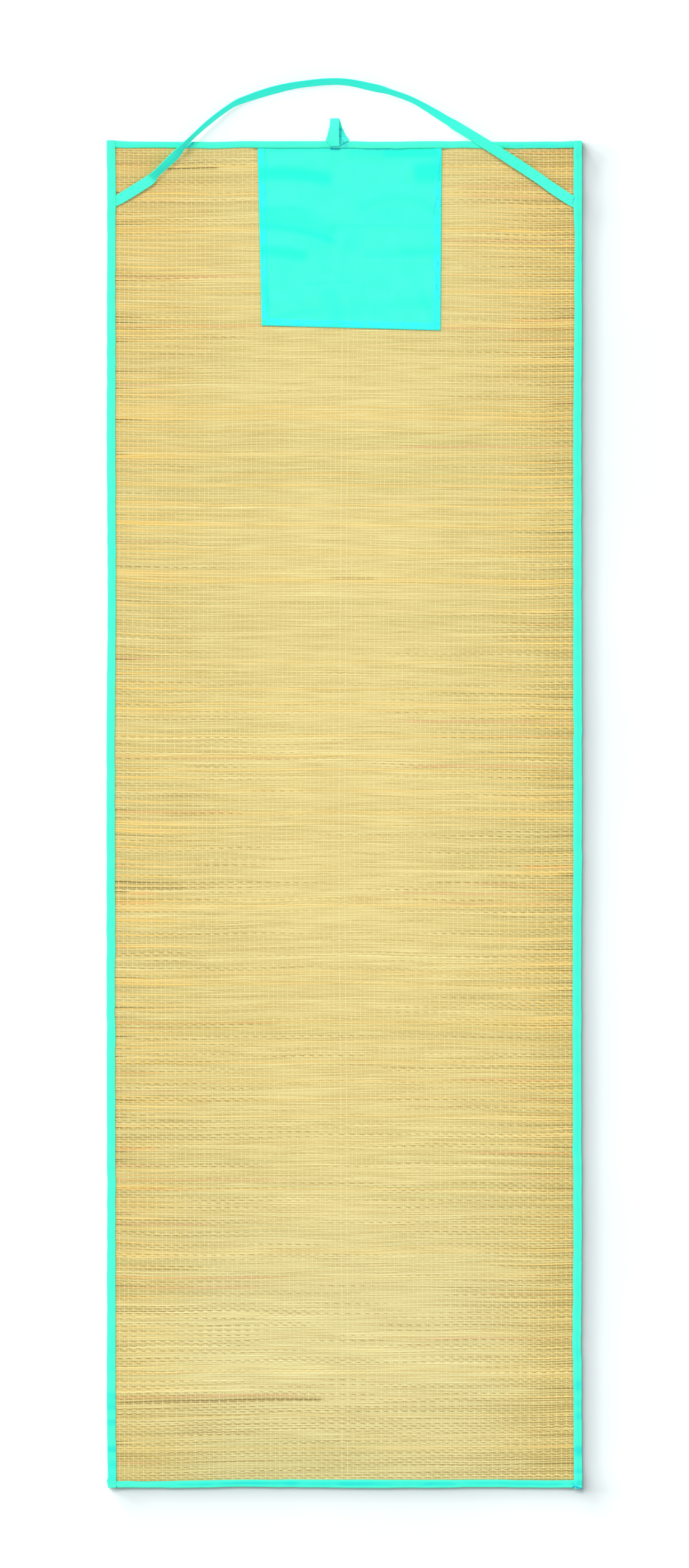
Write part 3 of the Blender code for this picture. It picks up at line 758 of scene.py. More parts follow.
def add_streaks(grid, rust, slit, seed):
    """Marks the stems that stand out, and gives the stain of all: below nought where a stem dried red."""
    rushes, columns = grid.to_root.shape
    pick = np.random.default_rng(seed)
    reddened = pick.random((rushes, 1)) < REDDENED
    red = reddened * ease((grid.to_root - pick.uniform(0.1, 0.9, (rushes, 1))) / 0.2)
    stain = np.zeros((rushes, columns))
    for streak in STREAKS:
        from_start = ease((grid.x - streak.x0) / STREAK_END_FADE + 1)
        ends = from_start * ease((streak.x1 - grid.x) / STREAK_END_FADE + 1)
        row = int(np.abs(grid.along[:, 0] - streak.y).argmin())
        stain[row] = np.maximum(stain[row], 0.5 * streak.stain * ends)
        rust[row] = np.maximum(rust[row], streak.rust * ends)
        slit[row] += streak.slit * ends
        red[row] = np.maximum(red[row], (streak.rust > 0.7) * ends)
    return np.where(stain > 0.1, stain, -RED_SHARE * red)


def gap_shades(grid, over, open_at, right_edge):
    """How dark the painted shade in the gap on the head side of each stem is."""
    outer = grid.outer**2
    # Painted shade in the gaps: more near the edges and at the foot, by chance from rush to rush, and in a
    # dash at each string that lies over the stem
    edge_mask = (0.22 + 0.78 * outer + 0.45 * grid.foot_end).clip(0, 1)
    brown = edge_mask * by_rush(grid) ** 1.3 * (1 + 0.25 * grid_noise(grid, None, 4))
    at_string = (0.40 + 0.60 * by_rush(grid)) * (0.62 + 0.22 * grid_noise(grid, None, 8))
    gap = 0.7 * brown + 0.25 * open_at * outer + (over > 0) * grid.bold * at_string * (0.8 + 0.4 * outer)
    return (gap * (1 + 0.5 * right_edge - 0.15 * from_to(grid.x, -0.15, -0.27))).clip(0, 1)


def lay_out_weave(sizes):
    """Where every rush runs at every string, how thick it is there, and what its colour is.

    The first and last columns of its arrays are the rushes' ends.
    """
    draw = np.random.default_rng(sizes.seed)
    place = string_places(sizes, draw)
    x = np.array([PANEL_LOW.x, *place, PANEL_HIGH.x])
    long = PANEL_HIGH.y - PANEL_LOW.y
    rushes, columns = round(long / sizes.rush_pitch), len(x)
    pitch = long / rushes
    order = np.arange(rushes)[:, None]
    along = PANEL_LOW.y + (order + 0.5) * pitch

    # Rushes are laid in turn from the left and from the right, root end first
    side = np.where(order % 2, 1.0, -1.0) * np.where(draw.random((rushes, 1)) < WRONG_WAY_SHARE, -1, 1)
    to_root = side * x / PANEL_HIGH.x
    outer = np.abs(x) / PANEL_HIGH.x
    foot_end = from_to(along, -0.70, -0.80)
    bold = np.interp(along, *np.array(BOLDNESS).T)
    grid = Grid(draw, x, along, to_root, outer, foot_end, foot_end * (0.35 + 0.65 * outer**2), bold)
    girth = stem_girths(grid)

    # Each string goes over one rush and under the next
    over = (order + np.arange(columns)[None, :]) % 2 * 2.0 - 1
    over[:, [0, -1]] = 0
    drawn = sizes.pinch * string_pinches(grid, pitch, girth) * (over > 0)
    between = lines_between(grid, sizes, pitch, girth, drawn)
    slit, open_at = open_slits(grid, drawn)
    right_edge = from_to(x, RIGHT_EDGE_FROM, PANEL_HIGH.x)
    tone = stem_tones(grid, girth, right_edge)
    rust = stem_rust(grid, side)
    stain = add_streaks(grid, rust, slit, sizes.seed + 1)
    gap = gap_shades(grid, over, open_at, right_edge)
    room = between[1:] - between[:-1]
    slit = np.minimum(slit, room * 0.6)
    # Painted shade on each stem's head side, in its gap and darker the wider the slit, and on the next
    # stem's foot side
    head_gap = np.maximum(gap, (slit / DARK_SLIT).clip(0, 1))
    foot_gap = np.zeros_like(gap)
    foot_gap[1:] = 0.8 * head_gap[:-1]
    y = (between[1:] + between[:-1]) / 2 - slit / 2
    half_width = (room / 2 - slit / 2).clip(LEAST_HALF_WIDTH, None)
    half_height = sizes.rush_height / 2 * np.sqrt(girth.clip(0.2, None)) * (0.25 + 0.62 * bold)
    half_height = half_height.clip(LEAST_HALF_HEIGHT, MOST_HALF_HEIGHT)
    middle = panel_under(x[None, :], y) + RUSH_MIDDLE - over * BOB
    sheen = draw.random((rushes, 1)) + np.zeros_like(x)
    root, rust = ease(0.5 + 0.5 * to_root), rust.clip(0, 1)
    shape = place, x + slips(grid), y, middle, half_width, half_height, over
    return Weave(*shape, tone, root, rust, stain, sheen, head_gap, foot_gap)


def band_rows(weave, number):
    """The first and last rush of one of the panel's bands."""
    rushes = len(weave.y)
    return rushes * number // len(BANDS), rushes * (number + 1) // len(BANDS)


def rush_band(name, weave, first, last):
    """A band of rushes: each a flattened stem with a ring of four corners at every string."""
    rows = slice(first, last)
    x, y, middle = weave.x[rows], weave.y[rows], weave.middle[rows]
    wide, high = weave.half_width[rows], weave.half_height[rows]
    foot_side = np.stack([x, y - wide, middle], 2)
    top = np.stack([x, y, middle + high], 2)
    head_side = np.stack([x, y + wide, middle], 2)
    bottom = np.stack([x, y, middle - high], 2)
    points = np.stack([head_side, top, foot_side, bottom], 2)
    count, columns = y.shape
    one = tube_quads(columns, RUSH_CORNERS).reshape(-1, 4)
    starts = np.arange(count)[:, None, None] * columns * RUSH_CORNERS
    quads = (one[None] + starts).reshape(-1, 4)
    across = np.array([1.0, 0.5, 0.0, -0.5, -1.0])
    uvs, caps = [], []
    for i in range(count):
        uvs.append(tube_uvs(np.arange(columns, dtype=float), np.tile(across + first + i, (columns, 1))))
        caps += tube_caps(columns, RUSH_CORNERS, i * columns * RUSH_CORNERS)
    mesh = new_mesh(name, points, quads, np.array(uvs), caps)
    ends = np.empty(len(mesh.edges) * 2, dtype=int)
    mesh.edges.foreach_get("vertices", ends)
    ends = ends.reshape(-1, 2) % RUSH_CORNERS
    mesh.edges.foreach_set("use_edge_sharp", (ends[:, 0] == ends[:, 1]) & (ends[:, 0] % 2 == 0))
    for value in ("tone", "root", "rust", "stain", "sheen"):
        set_values(mesh, value, np.repeat(getattr(weave, value)[rows].ravel(), RUSH_CORNERS))
    # Painted shade along each stem's head and foot sides, where the gaps are
    none = np.zeros_like(y)
    set_values(mesh, "gap", np.stack([weave.head_gap[rows], none, weave.foot_gap[rows], none], 2))
    return mesh


def string_lines(weave):
    """For each string, the column that it runs in, how far beside it, and which rushes it goes over."""
    lines = []
    for column, place in enumerate(weave.strings, 1):
        if place in DOUBLED_STRINGS:
            spread = DOUBLED_SPREAD[DOUBLED_STRINGS.index(place)]
            lines += [(column, -spread, 1.0), (column, spread, -1.0)]
        else:
            lines.append((column, 0.0, 1.0))
    return lines


def string_band(name, weave, first, last, sizes):
    """The strings of a band: each goes over one rush and under the next."""
    draw = np.random.default_rng(sizes.seed + first)
    last = min(last + 1, len(weave.y))
    rows = slice(first, last)
    points, quads, uvs, caps, shown = [], [], [], [], []
    count = last - first
    at_ring = tube_uvs(np.arange(count, dtype=float), np.tile([0.0, 1.0, 2.0, 3.0], (count, 1)))
    for number, (column, aside, phase) in enumerate(string_lines(weave)):
        over = weave.over[rows, column] * phase
        half = np.where(over > 0, sizes.string_width / 2, sizes.string_width * DIVING_WIDTH)
        half = half * (1 + STRING_SPREAD * draw.normal(size=count)).clip(*STRING_LIMITS)
        x = weave.x[rows, column] + aside + draw.normal(0, STRING_WOBBLE, count)
        below = sizes.string_height + (0.0 if aside else DIVE)
        ridge = weave.half_height[rows, column] + np.where(over > 0, STRING_RISE, below)
        base = (weave.middle[rows, column] + over * ridge).clip(0.0, None)
        sunk = np.where(over > 0, STRING_WOBBLE * draw.random(count), 0.0)
        y = weave.y[rows, column]
        right = np.stack([x + half, y, base], 1)
        left = np.stack([x - half, y, base], 1)
        apex = np.stack([x, y, base + sizes.string_height - sunk], 1)
        points.append(np.stack([right, left, apex], 1))
        start = number * count * STRING_CORNERS
        quads.append(tube_quads(count, STRING_CORNERS).reshape(-1, 4) + start)
        caps += tube_caps(count, STRING_CORNERS, start)
        uvs.append(at_ring)
        shown_towards_foot = 1 - DULLED_AT_FOOT * from_to(y, DULLED_FROM, DULLED_TO)
        bright = np.where(over > 0, SHOWN_LEAST + (1 - SHOWN_LEAST) * draw.random(count), 0.0) * shown_towards_foot
        doubled = 1.0 if aside else 0.0
        shown.append(np.repeat(np.maximum(bright, doubled), STRING_CORNERS))
    mesh = new_mesh(name, np.array(points), np.concatenate(quads), np.array(uvs), caps)
    mesh.shade_flat()
    set_values(mesh, "shown", np.array(shown))
    return mesh


def over_patch(x):
    """How much higher the head binding's flap is where it covers the patch."""
    start = PATCH_CORNERS["head left"][0] - FLAP_MARGIN
    stop = PATCH_CORNERS["head right"][0] + FLAP_MARGIN
    return (CLOTH_THICK + HEM_EXTRA + GAP) * plateau(x, start, stop, FLAP_SLOPE)


# How deep the shade lies on each corner of a folded tape's section: on the underside, round the fold, over
# the top to the lip, and on the inside
TAPE_SHADE = (0.5, 0.5, 0.4, *(0.0,) * 8, 0.15, 0.8, 1.0, 0.85, 0.30, 0.1, *(0.0,) * 4, *(0.6,) * 4)

# A folded tape's section
FOLD_DEPTH = 0.0020
FOLD_CORNERS = 9
SEAM_GROOVE = 0.00016
SEAM_HALF = 0.0006
CROWN = 0.00012
TAPE_LIP = 0.0009

# How far below its top the flap lies beyond its seam, and at three places round its lip
FLAP_DROPS = (0.00003, 0.00025, 0.00055, 0.00082)

# How much of that shade the side tapes get
LEFT_SHADE = 0.04
RIGHT_SHADE = 0.45

# The head tape's: the least, how much more at the right, and between which places it grows
HEAD_SHADE = (0.16, 0.20, 0.15, 0.25)

# The foot tape's: the most, and where it grows to that. Then how much of it goes, and where it does
FOOT_SHADE = (0.95, -0.27, -0.15)
FOOT_SHADE_FADES = (0.25, 0.05, 0.15)

# How far the folds and the inner edges of the tapes wander
END_FOLD_WANDER = 0.00008
END_WIDTH_WANDER = 0.00010
SIDE_WANDER = 0.00012


def folded_tape(width, under, top, seam, crown):
    """A row of sections of a tape folded round an edge, as (inwards, up), with the outer corners first.

    The flap has a low crown between its fold and its seam, a groove along the seam and a rounded lip.
    """
    zero = np.zeros_like(width)
    wall = CLOTH_THICK
    outer = [(width, under), (width * 0.55, under), (zero + FOLD_DEPTH, under)]
    middle, half = (under + top) / 2, (top - under) / 2
    for corner in range(1, FOLD_CORNERS):
        angle = math.pi * corner / FOLD_CORNERS - math.pi / 2
        outer.append((zero + FOLD_DEPTH * (1 - math.cos(angle)), middle + half * math.sin(angle)))
    at_seam = width - seam
    outer += [
        (zero + FOLD_DEPTH, top),
        (FOLD_DEPTH * 0.75 + at_seam * 0.25, top + crown * 0.75),
        ((FOLD_DEPTH + at_seam) / 2, top + crown),
        (FOLD_DEPTH * 0.25 + at_seam * 0.75, top + crown * 0.75),
        (at_seam - SEAM_HALF, top + crown * 0.3),
        (at_seam, top - SEAM_GROOVE),
        (at_seam + SEAM_HALF, top - FLAP_DROPS[0]),
        (width - TAPE_LIP, top - FLAP_DROPS[1]),
        (width - TAPE_LIP * 0.3, top - FLAP_DROPS[2]),
        (width, top - FLAP_DROPS[3]),
    ]
    inner = [
        (width - TAPE_LIP * 0.2, top - wall),
        (zero + wall, top - wall),
        (zero + wall, under + wall),
        (width - TAPE_LIP, under + wall),
    ]
    return np.stack([np.stack(point, 1) for point in (*outer, *inner)], 1), len(outer)


def tape_stations(start, stop):
    """Even places along a tape."""
    return np.linspace(start, stop, round((stop - start) / TAPE_STEP) + 1)


# An end tape is drawn in this far where it goes under the side tapes, over this much of its length
DRAWN_IN = -0.0013
DRAWN_IN_OVER = 0.0012
CLOSE_STATIONS = 0.0120


def drawn_in(x, end):
    """From 0 to 1 where an end tape goes in under the side tapes."""
    at = np.array([end * HALF_LENGTH])
    sides = (LEFT_EDGE, RIGHT_EDGE)
    left, right = (HALF_WIDTH + level(rows, "out", at) - level(rows, "width", at) for rows in sides)
    return ease(1 + np.where(x < 0, -x - left, x - right) / DRAWN_IN_OVER)


def end_binding(name, rows, end, seam, draw):
    """The tape round the head end (end +1) or the foot end (end -1), and its seam's path."""
    half = HALF_WIDTH - PANEL_INSET
    near = np.linspace(half - CLOSE_STATIONS, half, 13)
    x = np.sort(np.concatenate([-near, tape_stations(-near[0], near[0])[1:-1], near]))
    under = lift(HALF_WIDTH - np.abs(x))
    top = under + LIFT + RUSH_THICK + LIFT + (over_patch(x) if end > 0 else 0)
    out = level(rows, "out", x)
    moved = (DRAWN_IN - out) * drawn_in(x, end)
    fold = HALF_LENGTH + out + moved + END_FOLD_WANDER * wander(draw, len(x), 40)
    width = level(rows, "width", x) + moved + END_WIDTH_WANDER * wander(draw, len(x), 45)
    crown = CROWN * (1 + 0.8 * wander(draw, len(x), 40))
    corners, _ = folded_tape(width, under, top, seam, crown)
    across = np.broadcast_to(x[:, None], corners.shape[:2])
    sections = np.stack([across, end * (fold[:, None] - corners[:, :, 0]), corners[:, :, 1]], 2)
    if end < 0:
        sections = sections[:, ::-1]
    seam_path = np.stack([x, end * (fold - width + seam), top - SEAM_GROOVE], 1)
    mesh = tube_mesh(name, sections[:, ::-1])
    # The tape's painted shade: deeper to the right on the head tape, and over all but the left end of the
    # foot tape
    if end > 0:
        least, more, start, stop = HEAD_SHADE
        depth = least + more * from_to(x, start, stop)
    else:
        most, start, stop = FOOT_SHADE
        less, fade_start, fade_stop = FOOT_SHADE_FADES
        depth = most * from_to(x, start, stop) * (1 - less * from_to(x, fade_start, fade_stop))
    depth = depth * (1 + 0.15 * wander(draw, len(x), 50))
    shade = np.array(TAPE_SHADE)[None, :] * depth[:, None]
    order = slice(None) if end < 0 else slice(None, None, -1)
    set_values(mesh, "crease", shade[:, order].clip(0, 1))
    return mesh, seam_path


# How the side tapes' foot and head corners are cut or rounded: how far in the fold goes, and over what
# length. Their sections lie closer together there
CORNERS = {
    "left": ((0.0022, 0.0085), (0.0018, 0.0018)),
    "right": ((0.0007, 0.0007), (0.0024, 0.0024)),
}
ROUNDING_STEP = 0.0009

# The rings of a side tape's turned-in end: how far along it each stands, and how much smaller it is
TURNED_IN = ((0.45, 0.985), (0.80, 0.93), (1.0, 0.80))
WALL_RUN = 0.001


def side_binding(name, rows, side, strap_end, ends, corners, seam, draw):
    """The tape round the left (side -1) or right (side +1) edge, over the end tapes and the strap's end."""
    start, stop = strap_end
    foot, head = ends
    low, high = CLOTH_THICK - foot - HALF_LENGTH, HALF_LENGTH - CLOTH_THICK + head
    rounding = ROUNDING_STEP * np.array([1, 2, 3])
    inner_places = tape_stations(low + 4 * ROUNDING_STEP, high - 4 * ROUNDING_STEP)
    y = np.concatenate([[low], low + rounding, inner_places, (high - rounding)[::-1], [high]])
    at_foot, at_head = corners
    tuck = corner_tuck(y + HALF_LENGTH + foot, *at_foot) + corner_tuck(HALF_LENGTH + head - y, *at_head)
    depth = HALF_LENGTH - np.abs(y)
    over_end = from_to(depth, OVER_END_FROM, OVER_END_TO)
    over_strap = plateau(y, start, stop, FLAP_SLOPE)
    top = LIFT + lift(depth) + RUSH_THICK + LIFT
    top = top + LIFT * over_end + (STRAP_THICK + GAP) * over_strap - tuck * 0.25
    fold = HALF_WIDTH + level(rows, "out", y) + SIDE_WANDER * wander(draw, len(y), 130) - tuck
    width = level(rows, "width", y) + SIDE_WANDER * wander(draw, len(y), 110) - tuck
    crown = CROWN * (1 + 0.8 * wander(draw, len(y), 100))
    profile, outer_count = folded_tape(width, np.zeros_like(y), top, seam, crown)
    across = np.broadcast_to(y[:, None], profile.shape[:2])
    sections = np.stack([side * (fold[:, None] - profile[:, :, 0]), across, profile[:, :, 1]], 2)
    mesh = turned_in_tape(name, sections, outer_count, (-HALF_LENGTH - foot, HALF_LENGTH + head), side)
    # Painted shade of small puckers, most towards the foot
    pucker_shade = wander(draw, len(y), 200).clip(0, 1.2) * (0.06 + 0.60 * from_to(y, -0.66, -0.78))
    depth = RIGHT_SHADE if side > 0 else LEFT_SHADE
    shade = np.array(TAPE_SHADE)[None, :] * depth + pucker_shade[:, None]
    values = np.zeros(len(mesh.vertices))
    values[: shade.size] = shade.clip(0, 1).ravel()
    set_values(mesh, "crease", values)
    seam_path = np.stack([side * (fold - width + seam), y, top - SEAM_GROOVE], 1)
    return mesh, seam_path


def corner_tuck(from_end, reach, length):
    """How far in a side tape's fold lies at a corner, which is round where it is as long as it is deep."""
    lost = np.clip(1 - from_end / length, 0, 1)
    return reach * (1 - np.sqrt(1 - lost**2) if reach == length else lost)


def turned_in_tape(name, sections, outer_count, ends, side):
    """Skins a side tape and closes its ends with walls of its own cloth, rounded towards their far faces."""
    count, around = sections.shape[:2]
    quads = tube_quads(count, around).reshape(-1, 4)
    lengths = path_lengths(sections)
    uvs = tube_uvs(sections[:, 0, 1], lengths).reshape(-1, 4, 2)
    points = [sections.reshape(-1, 3)]
    total = count * around
    extra_quads, extra_uvs, caps = [], [], []
    for ring, end, forward in ((0, ends[0], -1), (count - 1, ends[1], 1)):
        rim = sections[ring, :outer_count]
        centre = rim.mean(0)
        start = ring * around
        before = list(range(start, start + outer_count))
        reach = abs(end - rim[0, 1])
        for share, kept in TURNED_IN:
            far = rim.copy()
            far[:, 0] = centre[0] + (rim[:, 0] - centre[0]) * (1 - (1 - kept) * 0.35)
            far[:, 2] = centre[2] + (rim[:, 2] - centre[2]) * kept
            far[:, 1] = rim[0, 1] + forward * reach * share
            points.append(far)
            after = list(range(total, total + outer_count))
            total += outer_count
            for i in range(outer_count - 1):
                extra_quads.append(turned((before[i], before[i + 1], after[i + 1], after[i]), forward))
                extra_uvs.append(wall_uvs(lengths[ring, i], lengths[ring, i + 1], end, forward))
            if share == TURNED_IN[0][0]:
                inner = list(range(start + outer_count, start + around))
                mouth = [before[-1], inner[0], inner[-1], before[0], after[0], after[-1]]
                caps.append(turned(mouth, forward))
                caps.append(turned(inner, forward))
            else:
                extra_quads.append(turned((before[-1], before[0], after[0], after[-1]), forward))
                extra_uvs.append(wall_uvs(lengths[ring, 0], lengths[ring, 1], end, forward))
            before = after
        caps.append(turned(before, forward))
    quads = np.concatenate([quads, np.array(extra_quads)])
    uvs = np.concatenate([uvs, np.array(extra_uvs)])
    if side > 0:
        quads, uvs = quads[:, ::-1], uvs[:, ::-1]
        caps = [cap[::-1] for cap in caps]
    return new_mesh(name, np.concatenate(points), quads, uvs, [list(cap) for cap in caps])


def turned(face, forward):
    """A face's corners in the order that points it outwards at either end."""
    return list(face) if forward > 0 else list(face)[::-1]


def wall_uvs(near, far, end, forward):
    """The place of an end wall's face on the cloth's own map."""
    beyond = end + WALL_RUN * forward
    spots = [(end, near), (end, far), (beyond, far), (beyond, near)]
    return spots if forward > 0 else spots[::-1]


def band_height(crease, x, y, end_fade, power):
    """How high one crease or band stands. A higher power gives it a flatter top and steeper sides."""
    reach = math.dist((crease.x0, crease.y0), (crease.x1, crease.y1))
    ahead = ((crease.x1 - crease.x0) / reach, (crease.y1 - crease.y0) / reach)
    along = (x - crease.x0) * ahead[0] + (y - crease.y0) * ahead[1]
    across = (y - crease.y0) * ahead[0] - (x - crease.x0) * ahead[1]
    middle = np.clip(along / reach, 0.0, 1.0)
    across = across - crease.bow * 4 * middle * (1 - middle)
    fade = np.where(across > 0, crease.spread, crease.fall)
    ends = ease(along / end_fade + 1) * ease((reach - along) / end_fade + 1)
    return crease.height * ends * np.exp(-(np.abs(across / fade) ** power))


def crease_height(crease, x, y):
    """How high one crease of the patch stands at places."""
    return band_height(crease, x, y, CREASE_END_FADE, 2)


def patch_under(x, y):
    """The patch's underside: on the rush, lifted in its soft creases."""
    from_binding = HALF_LENGTH - y - LIFTED_TO
    left, right = PATCH_CORNERS["foot left"][0], PATCH_CORNERS["foot right"][0]
    foot = PATCH_CORNERS["foot right"][1]
    from_hem = np.minimum(np.minimum(x - left, right - x), y - foot) - PATCH_HEM / 2
    held = ease(from_binding / PATCH_FLAT_NEAR_BINDING) * ease(from_hem / PATCH_FLAT_NEAR_HEM)
    loose = sum(crease_height(crease, x, y) for crease in CREASES)
    fine = sum(crease_height(crease, x, y) for crease in FINE_CREASES)
    return panel_under(x, y) + RUSH_THICK + GAP + loose * held + fine * ease(from_binding / 0.004)


# The patch's cloth
PATCH_CLOTH = 0.0007
PATCH_HEM_STEP = 0.0006
PATCH_GROOVE = 0.00016
HEM_SLOPE = 0.0008
PATCH_RIM = 0.0005
PATCH_SEAM = 0.0021
PATCH_SEAM_END = 0.006
SEAM_STEP = 0.003
SMALL_RIPPLES = 0.00009
LARGE_RIPPLES = 0.00014
THINNEST_CLOTH = 0.0002


def patch_lines(length, hems):
    """Places of the patch's grid lines across one of its sides, close together at its rims and hems."""
    near = [0.0, PATCH_RIM, 2 * PATCH_RIM, PATCH_HEM - HEM_SLOPE, PATCH_HEM - HEM_SLOPE / 2, PATCH_HEM]
    places = list(near)
    if hems == 2:
        places += [length - place for place in near]
    else:
        places += [length]
    even = np.linspace(0, length, round(length / PATCH_STEP) + 1)
    places += [place for place in even if min(abs(place - other) for other in places) > PATCH_STEP * 0.4]
    return np.sort(np.array(places))


def patch_spots(u, v):
    """Where shares u across and v up the patch lie."""
    corners = {name: np.array(place) for name, place in PATCH_CORNERS.items()}
    u, v = u[..., None], v[..., None]
    foot = corners["foot left"] * (1 - u) + corners["foot right"] * u
    head = corners["head left"] * (1 - u) + corners["head right"] * u
    return foot * (1 - v) + head * v


def patch_mesh(name, draw):
    """The square of cloth at the head end, hemmed at its left, right and foot, and its seam's path."""
    width = PATCH_CORNERS["foot right"][0] - PATCH_CORNERS["foot left"][0]
    height = PATCH_CORNERS["head left"][1] - PATCH_CORNERS["foot left"][1]
    across, up = patch_lines(width, 2), patch_lines(height, 1)
    s, t = np.meshgrid(across, up)
    spots = patch_spots(s / width, t / height)
    x, y = spots[..., 0], spots[..., 1]
    from_rim = np.minimum(np.minimum(s, width - s), t)
    under = patch_under(x, y)
    hem = ease((PATCH_HEM - from_rim) / HEM_SLOPE)
    rim = ease(from_rim / (2 * PATCH_RIM))
    thick = PATCH_CLOTH * (0.55 + 0.45 * rim) + PATCH_HEM_STEP * hem * rim
    groove = np.exp(-(((from_rim - PATCH_SEAM) / SEAM_HALF) ** 2))
    ripple = SMALL_RIPPLES * soft_noise(draw, *s.shape, 34, 34)
    ripple = ripple + LARGE_RIPPLES * soft_noise(draw, *s.shape, 11, 12)
    top = under + thick - PATCH_GROOVE * groove + ripple * ease(from_rim / PATCH_HEM)
    top = np.maximum(top, under + THINNEST_CLOTH)
    rows, columns = s.shape
    upper = np.stack([x, y, top], 2).reshape(-1, 3)
    lower = np.stack([x, y, under], 2).reshape(-1, 3)
    index = np.arange(rows * columns).reshape(rows, columns)
    face = np.stack([index[:-1, :-1], index[:-1, 1:], index[1:, 1:], index[1:, :-1]], 2).reshape(-1, 4)
    loop = np.concatenate([index[0, :-1], index[:-1, -1], index[-1, :0:-1], index[:0:-1, 0]])
    beside = np.roll(loop, -1)
    under_start = rows * columns
    walls = np.stack([loop + under_start, beside + under_start, beside, loop], 1)
    quads = np.concatenate([face, face[:, ::-1] + under_start, walls])
    flat = np.stack([s, t], 2).reshape(-1, 2)
    uvs = np.concatenate([flat, flat])[quads]
    mesh = new_mesh(name, np.concatenate([upper, lower]), quads, uvs)
    double = hem * (0.75 + 0.25 * soft_noise(draw, *s.shape, 40, 60))
    set_values(mesh, "hem", np.tile(double.ravel(), 2))
    # Painted shade in soft bands where the cloth leans away from the light, and a little all over
    crease = sum(band_height(band, x, y, SHADE_END_FADE, 3) for band in SHADES)
    set_values(mesh, "crease", np.tile((crease + 0.10).clip(0, 1).ravel(), 2))
    # Darker, bluer blotches on the hems, and painted shadow along the head binding's flap
    fold = hem_marks(s, t, width, draw) + painted_flap_shadow(x, y)
    set_values(mesh, "fold", np.tile(fold.clip(0, 1).ravel(), 2))
    return mesh, patch_seam(width, height)


def painted_flap_shadow(x, y):
    """Painted shadow along the line where the patch goes under the head binding's flap."""
    edge = HALF_LENGTH + level(HEAD_EDGE, "out", x) - level(HEAD_EDGE, "width", x)
    near = np.exp(-(((y - edge + 0.0003) / 0.0006) ** 2)) + (y > edge)
    return near * (0.30 + 0.65 * plateau(x, 0.003, 0.072, 0.012) - 0.25 * from_to(x, 0.085, 0.105))


def hem_marks(s, t, width, draw):
    """Bluer blotches on the patch's right hem, and fainter ones on its left."""
    right = ease((s - width + PATCH_HEM) / 0.001) * ease((width - s) / 0.0005)
    left = ease((PATCH_HEM - s) / 0.001) * ease(s / 0.0005)
    blotches = soft_noise(draw, *s.shape, 26, 80).clip(0, 1.5)
    return blotches * (0.20 * right * (0.4 + 0.6 * from_to(t, 0.10, 0.20)) + 0.08 * left)


def patch_seam(width, height):
    """The line along which the patch is sewn on: up its left, along its foot and up its right."""
    inset, end = PATCH_SEAM, height - PATCH_SEAM_END
    corners = [(inset, end), (inset, inset), (width - inset, inset), (width - inset, end)]
    path = []
    for start, stop in zip(corners, corners[1:]):
        count = round(math.dist(start, stop) / SEAM_STEP)
        path += [np.array(start) + (np.array(stop) - start) * i / count for i in range(count)]
    path.append(np.array(corners[-1]))
    s, t = np.array(path).T
    spots = patch_spots(s / width, t / height)
    x, y = spots[:, 0], spots[:, 1]
    thick = PATCH_CLOTH + PATCH_HEM_STEP - PATCH_GROOVE
    return np.stack([x, y, patch_under(x, y) + thick], 1)


# A flat tape's section: across as a share of its half width, and up as a share of its half thickness
FLAT_TAPE = (
    (1.00, 0.00),
    (0.985, 0.70),
    (0.93, 1.00),
    (0.80, 0.80),
    (0.72, 0.62),
    (0.62, 0.86),
    (0.20, 0.95),
    (-0.20, 0.95),
    (-0.62, 0.86),
    (-0.72, 0.62),
    (-0.80, 0.80),
    (-0.93, 1.00),
    (-0.985, 0.70),
    (-1.00, 0.00),
    (-0.985, -0.70),
    (-0.90, -0.95),
    (0.00, -0.90),
    (0.90, -0.95),
    (0.985, -0.70),
)


def tape_section(middle, half_across, half_through):
    """The corners of a flat tape with slightly thicker edges."""
    return [middle + half_across * across + half_through * through for across, through in FLAT_TAPE]


def neighbours(rows, i):
    """The rows before and after one of them, or the row itself at an end."""
    return rows[max(i - 1, 0)], rows[min(i + 1, len(rows) - 1)]


def strap_mesh(name, draw):
    """The carrying strap: a tape that lies flat at its ends and stands up on its inner edge between them."""
    turns = flowing(STRAP, STRAP_STEPS)
    wave = wander(draw, len(turns), 42)
    sections = []
    for i, turn in enumerate(turns):
        before, after = neighbours(turns, i)
        ahead = Vector((after.x - before.x, after.y - before.y, 0)).normalized()
        outwards = Vector((-ahead.y, ahead.x, 0))
        roll = math.radians(max(turn.roll, 0))
        across = outwards * math.cos(roll) + Vector((0, 0, math.sin(roll)))
        through = Vector((0, 0, math.cos(roll))) - outwards * math.sin(roll)
        half_width = STRAP_WIDTH / 2 * (1 - 0.012 * (1 + wave[i]) - 0.06 * from_to(turn.x, -0.2795, -0.2915))
        rise = STRAP_WIDTH / 2 * math.sin(roll) + STRAP_THICK / 2 * math.cos(roll)
        middle = Vector((turn.x, turn.y, max(turn.low, 0) + rise))
        sections.append(tape_section(middle, across * half_width, through * STRAP_THICK / 2))
    mesh = tube_mesh(name, np.array(sections))
    # Painted light: brighter and bluer the further the tape stands up on its edge, after a little tint all
    # along
    rolls = np.array([turn.roll for turn in turns])
    set_values(mesh, "turned", np.repeat(0.10 + 0.60 * ease(rolls / 55), len(FLAT_TAPE)))

    # Painted shade on the lower half of the tape at the left twist, which faces away from the light
    across = np.array([across for across, _ in FLAT_TAPE])
    twist_shade = plateau(np.array([turn.x for turn in turns]), -0.243, -0.205, 0.006)
    twist_shade = twist_shade * (1 + 0.35 * wander(draw, len(turns), 60))
    set_values(mesh, "fold", (twist_shade[:, None] * 0.12 * ease(0.6 - across)[None, :]).clip(0, 1))
    return mesh


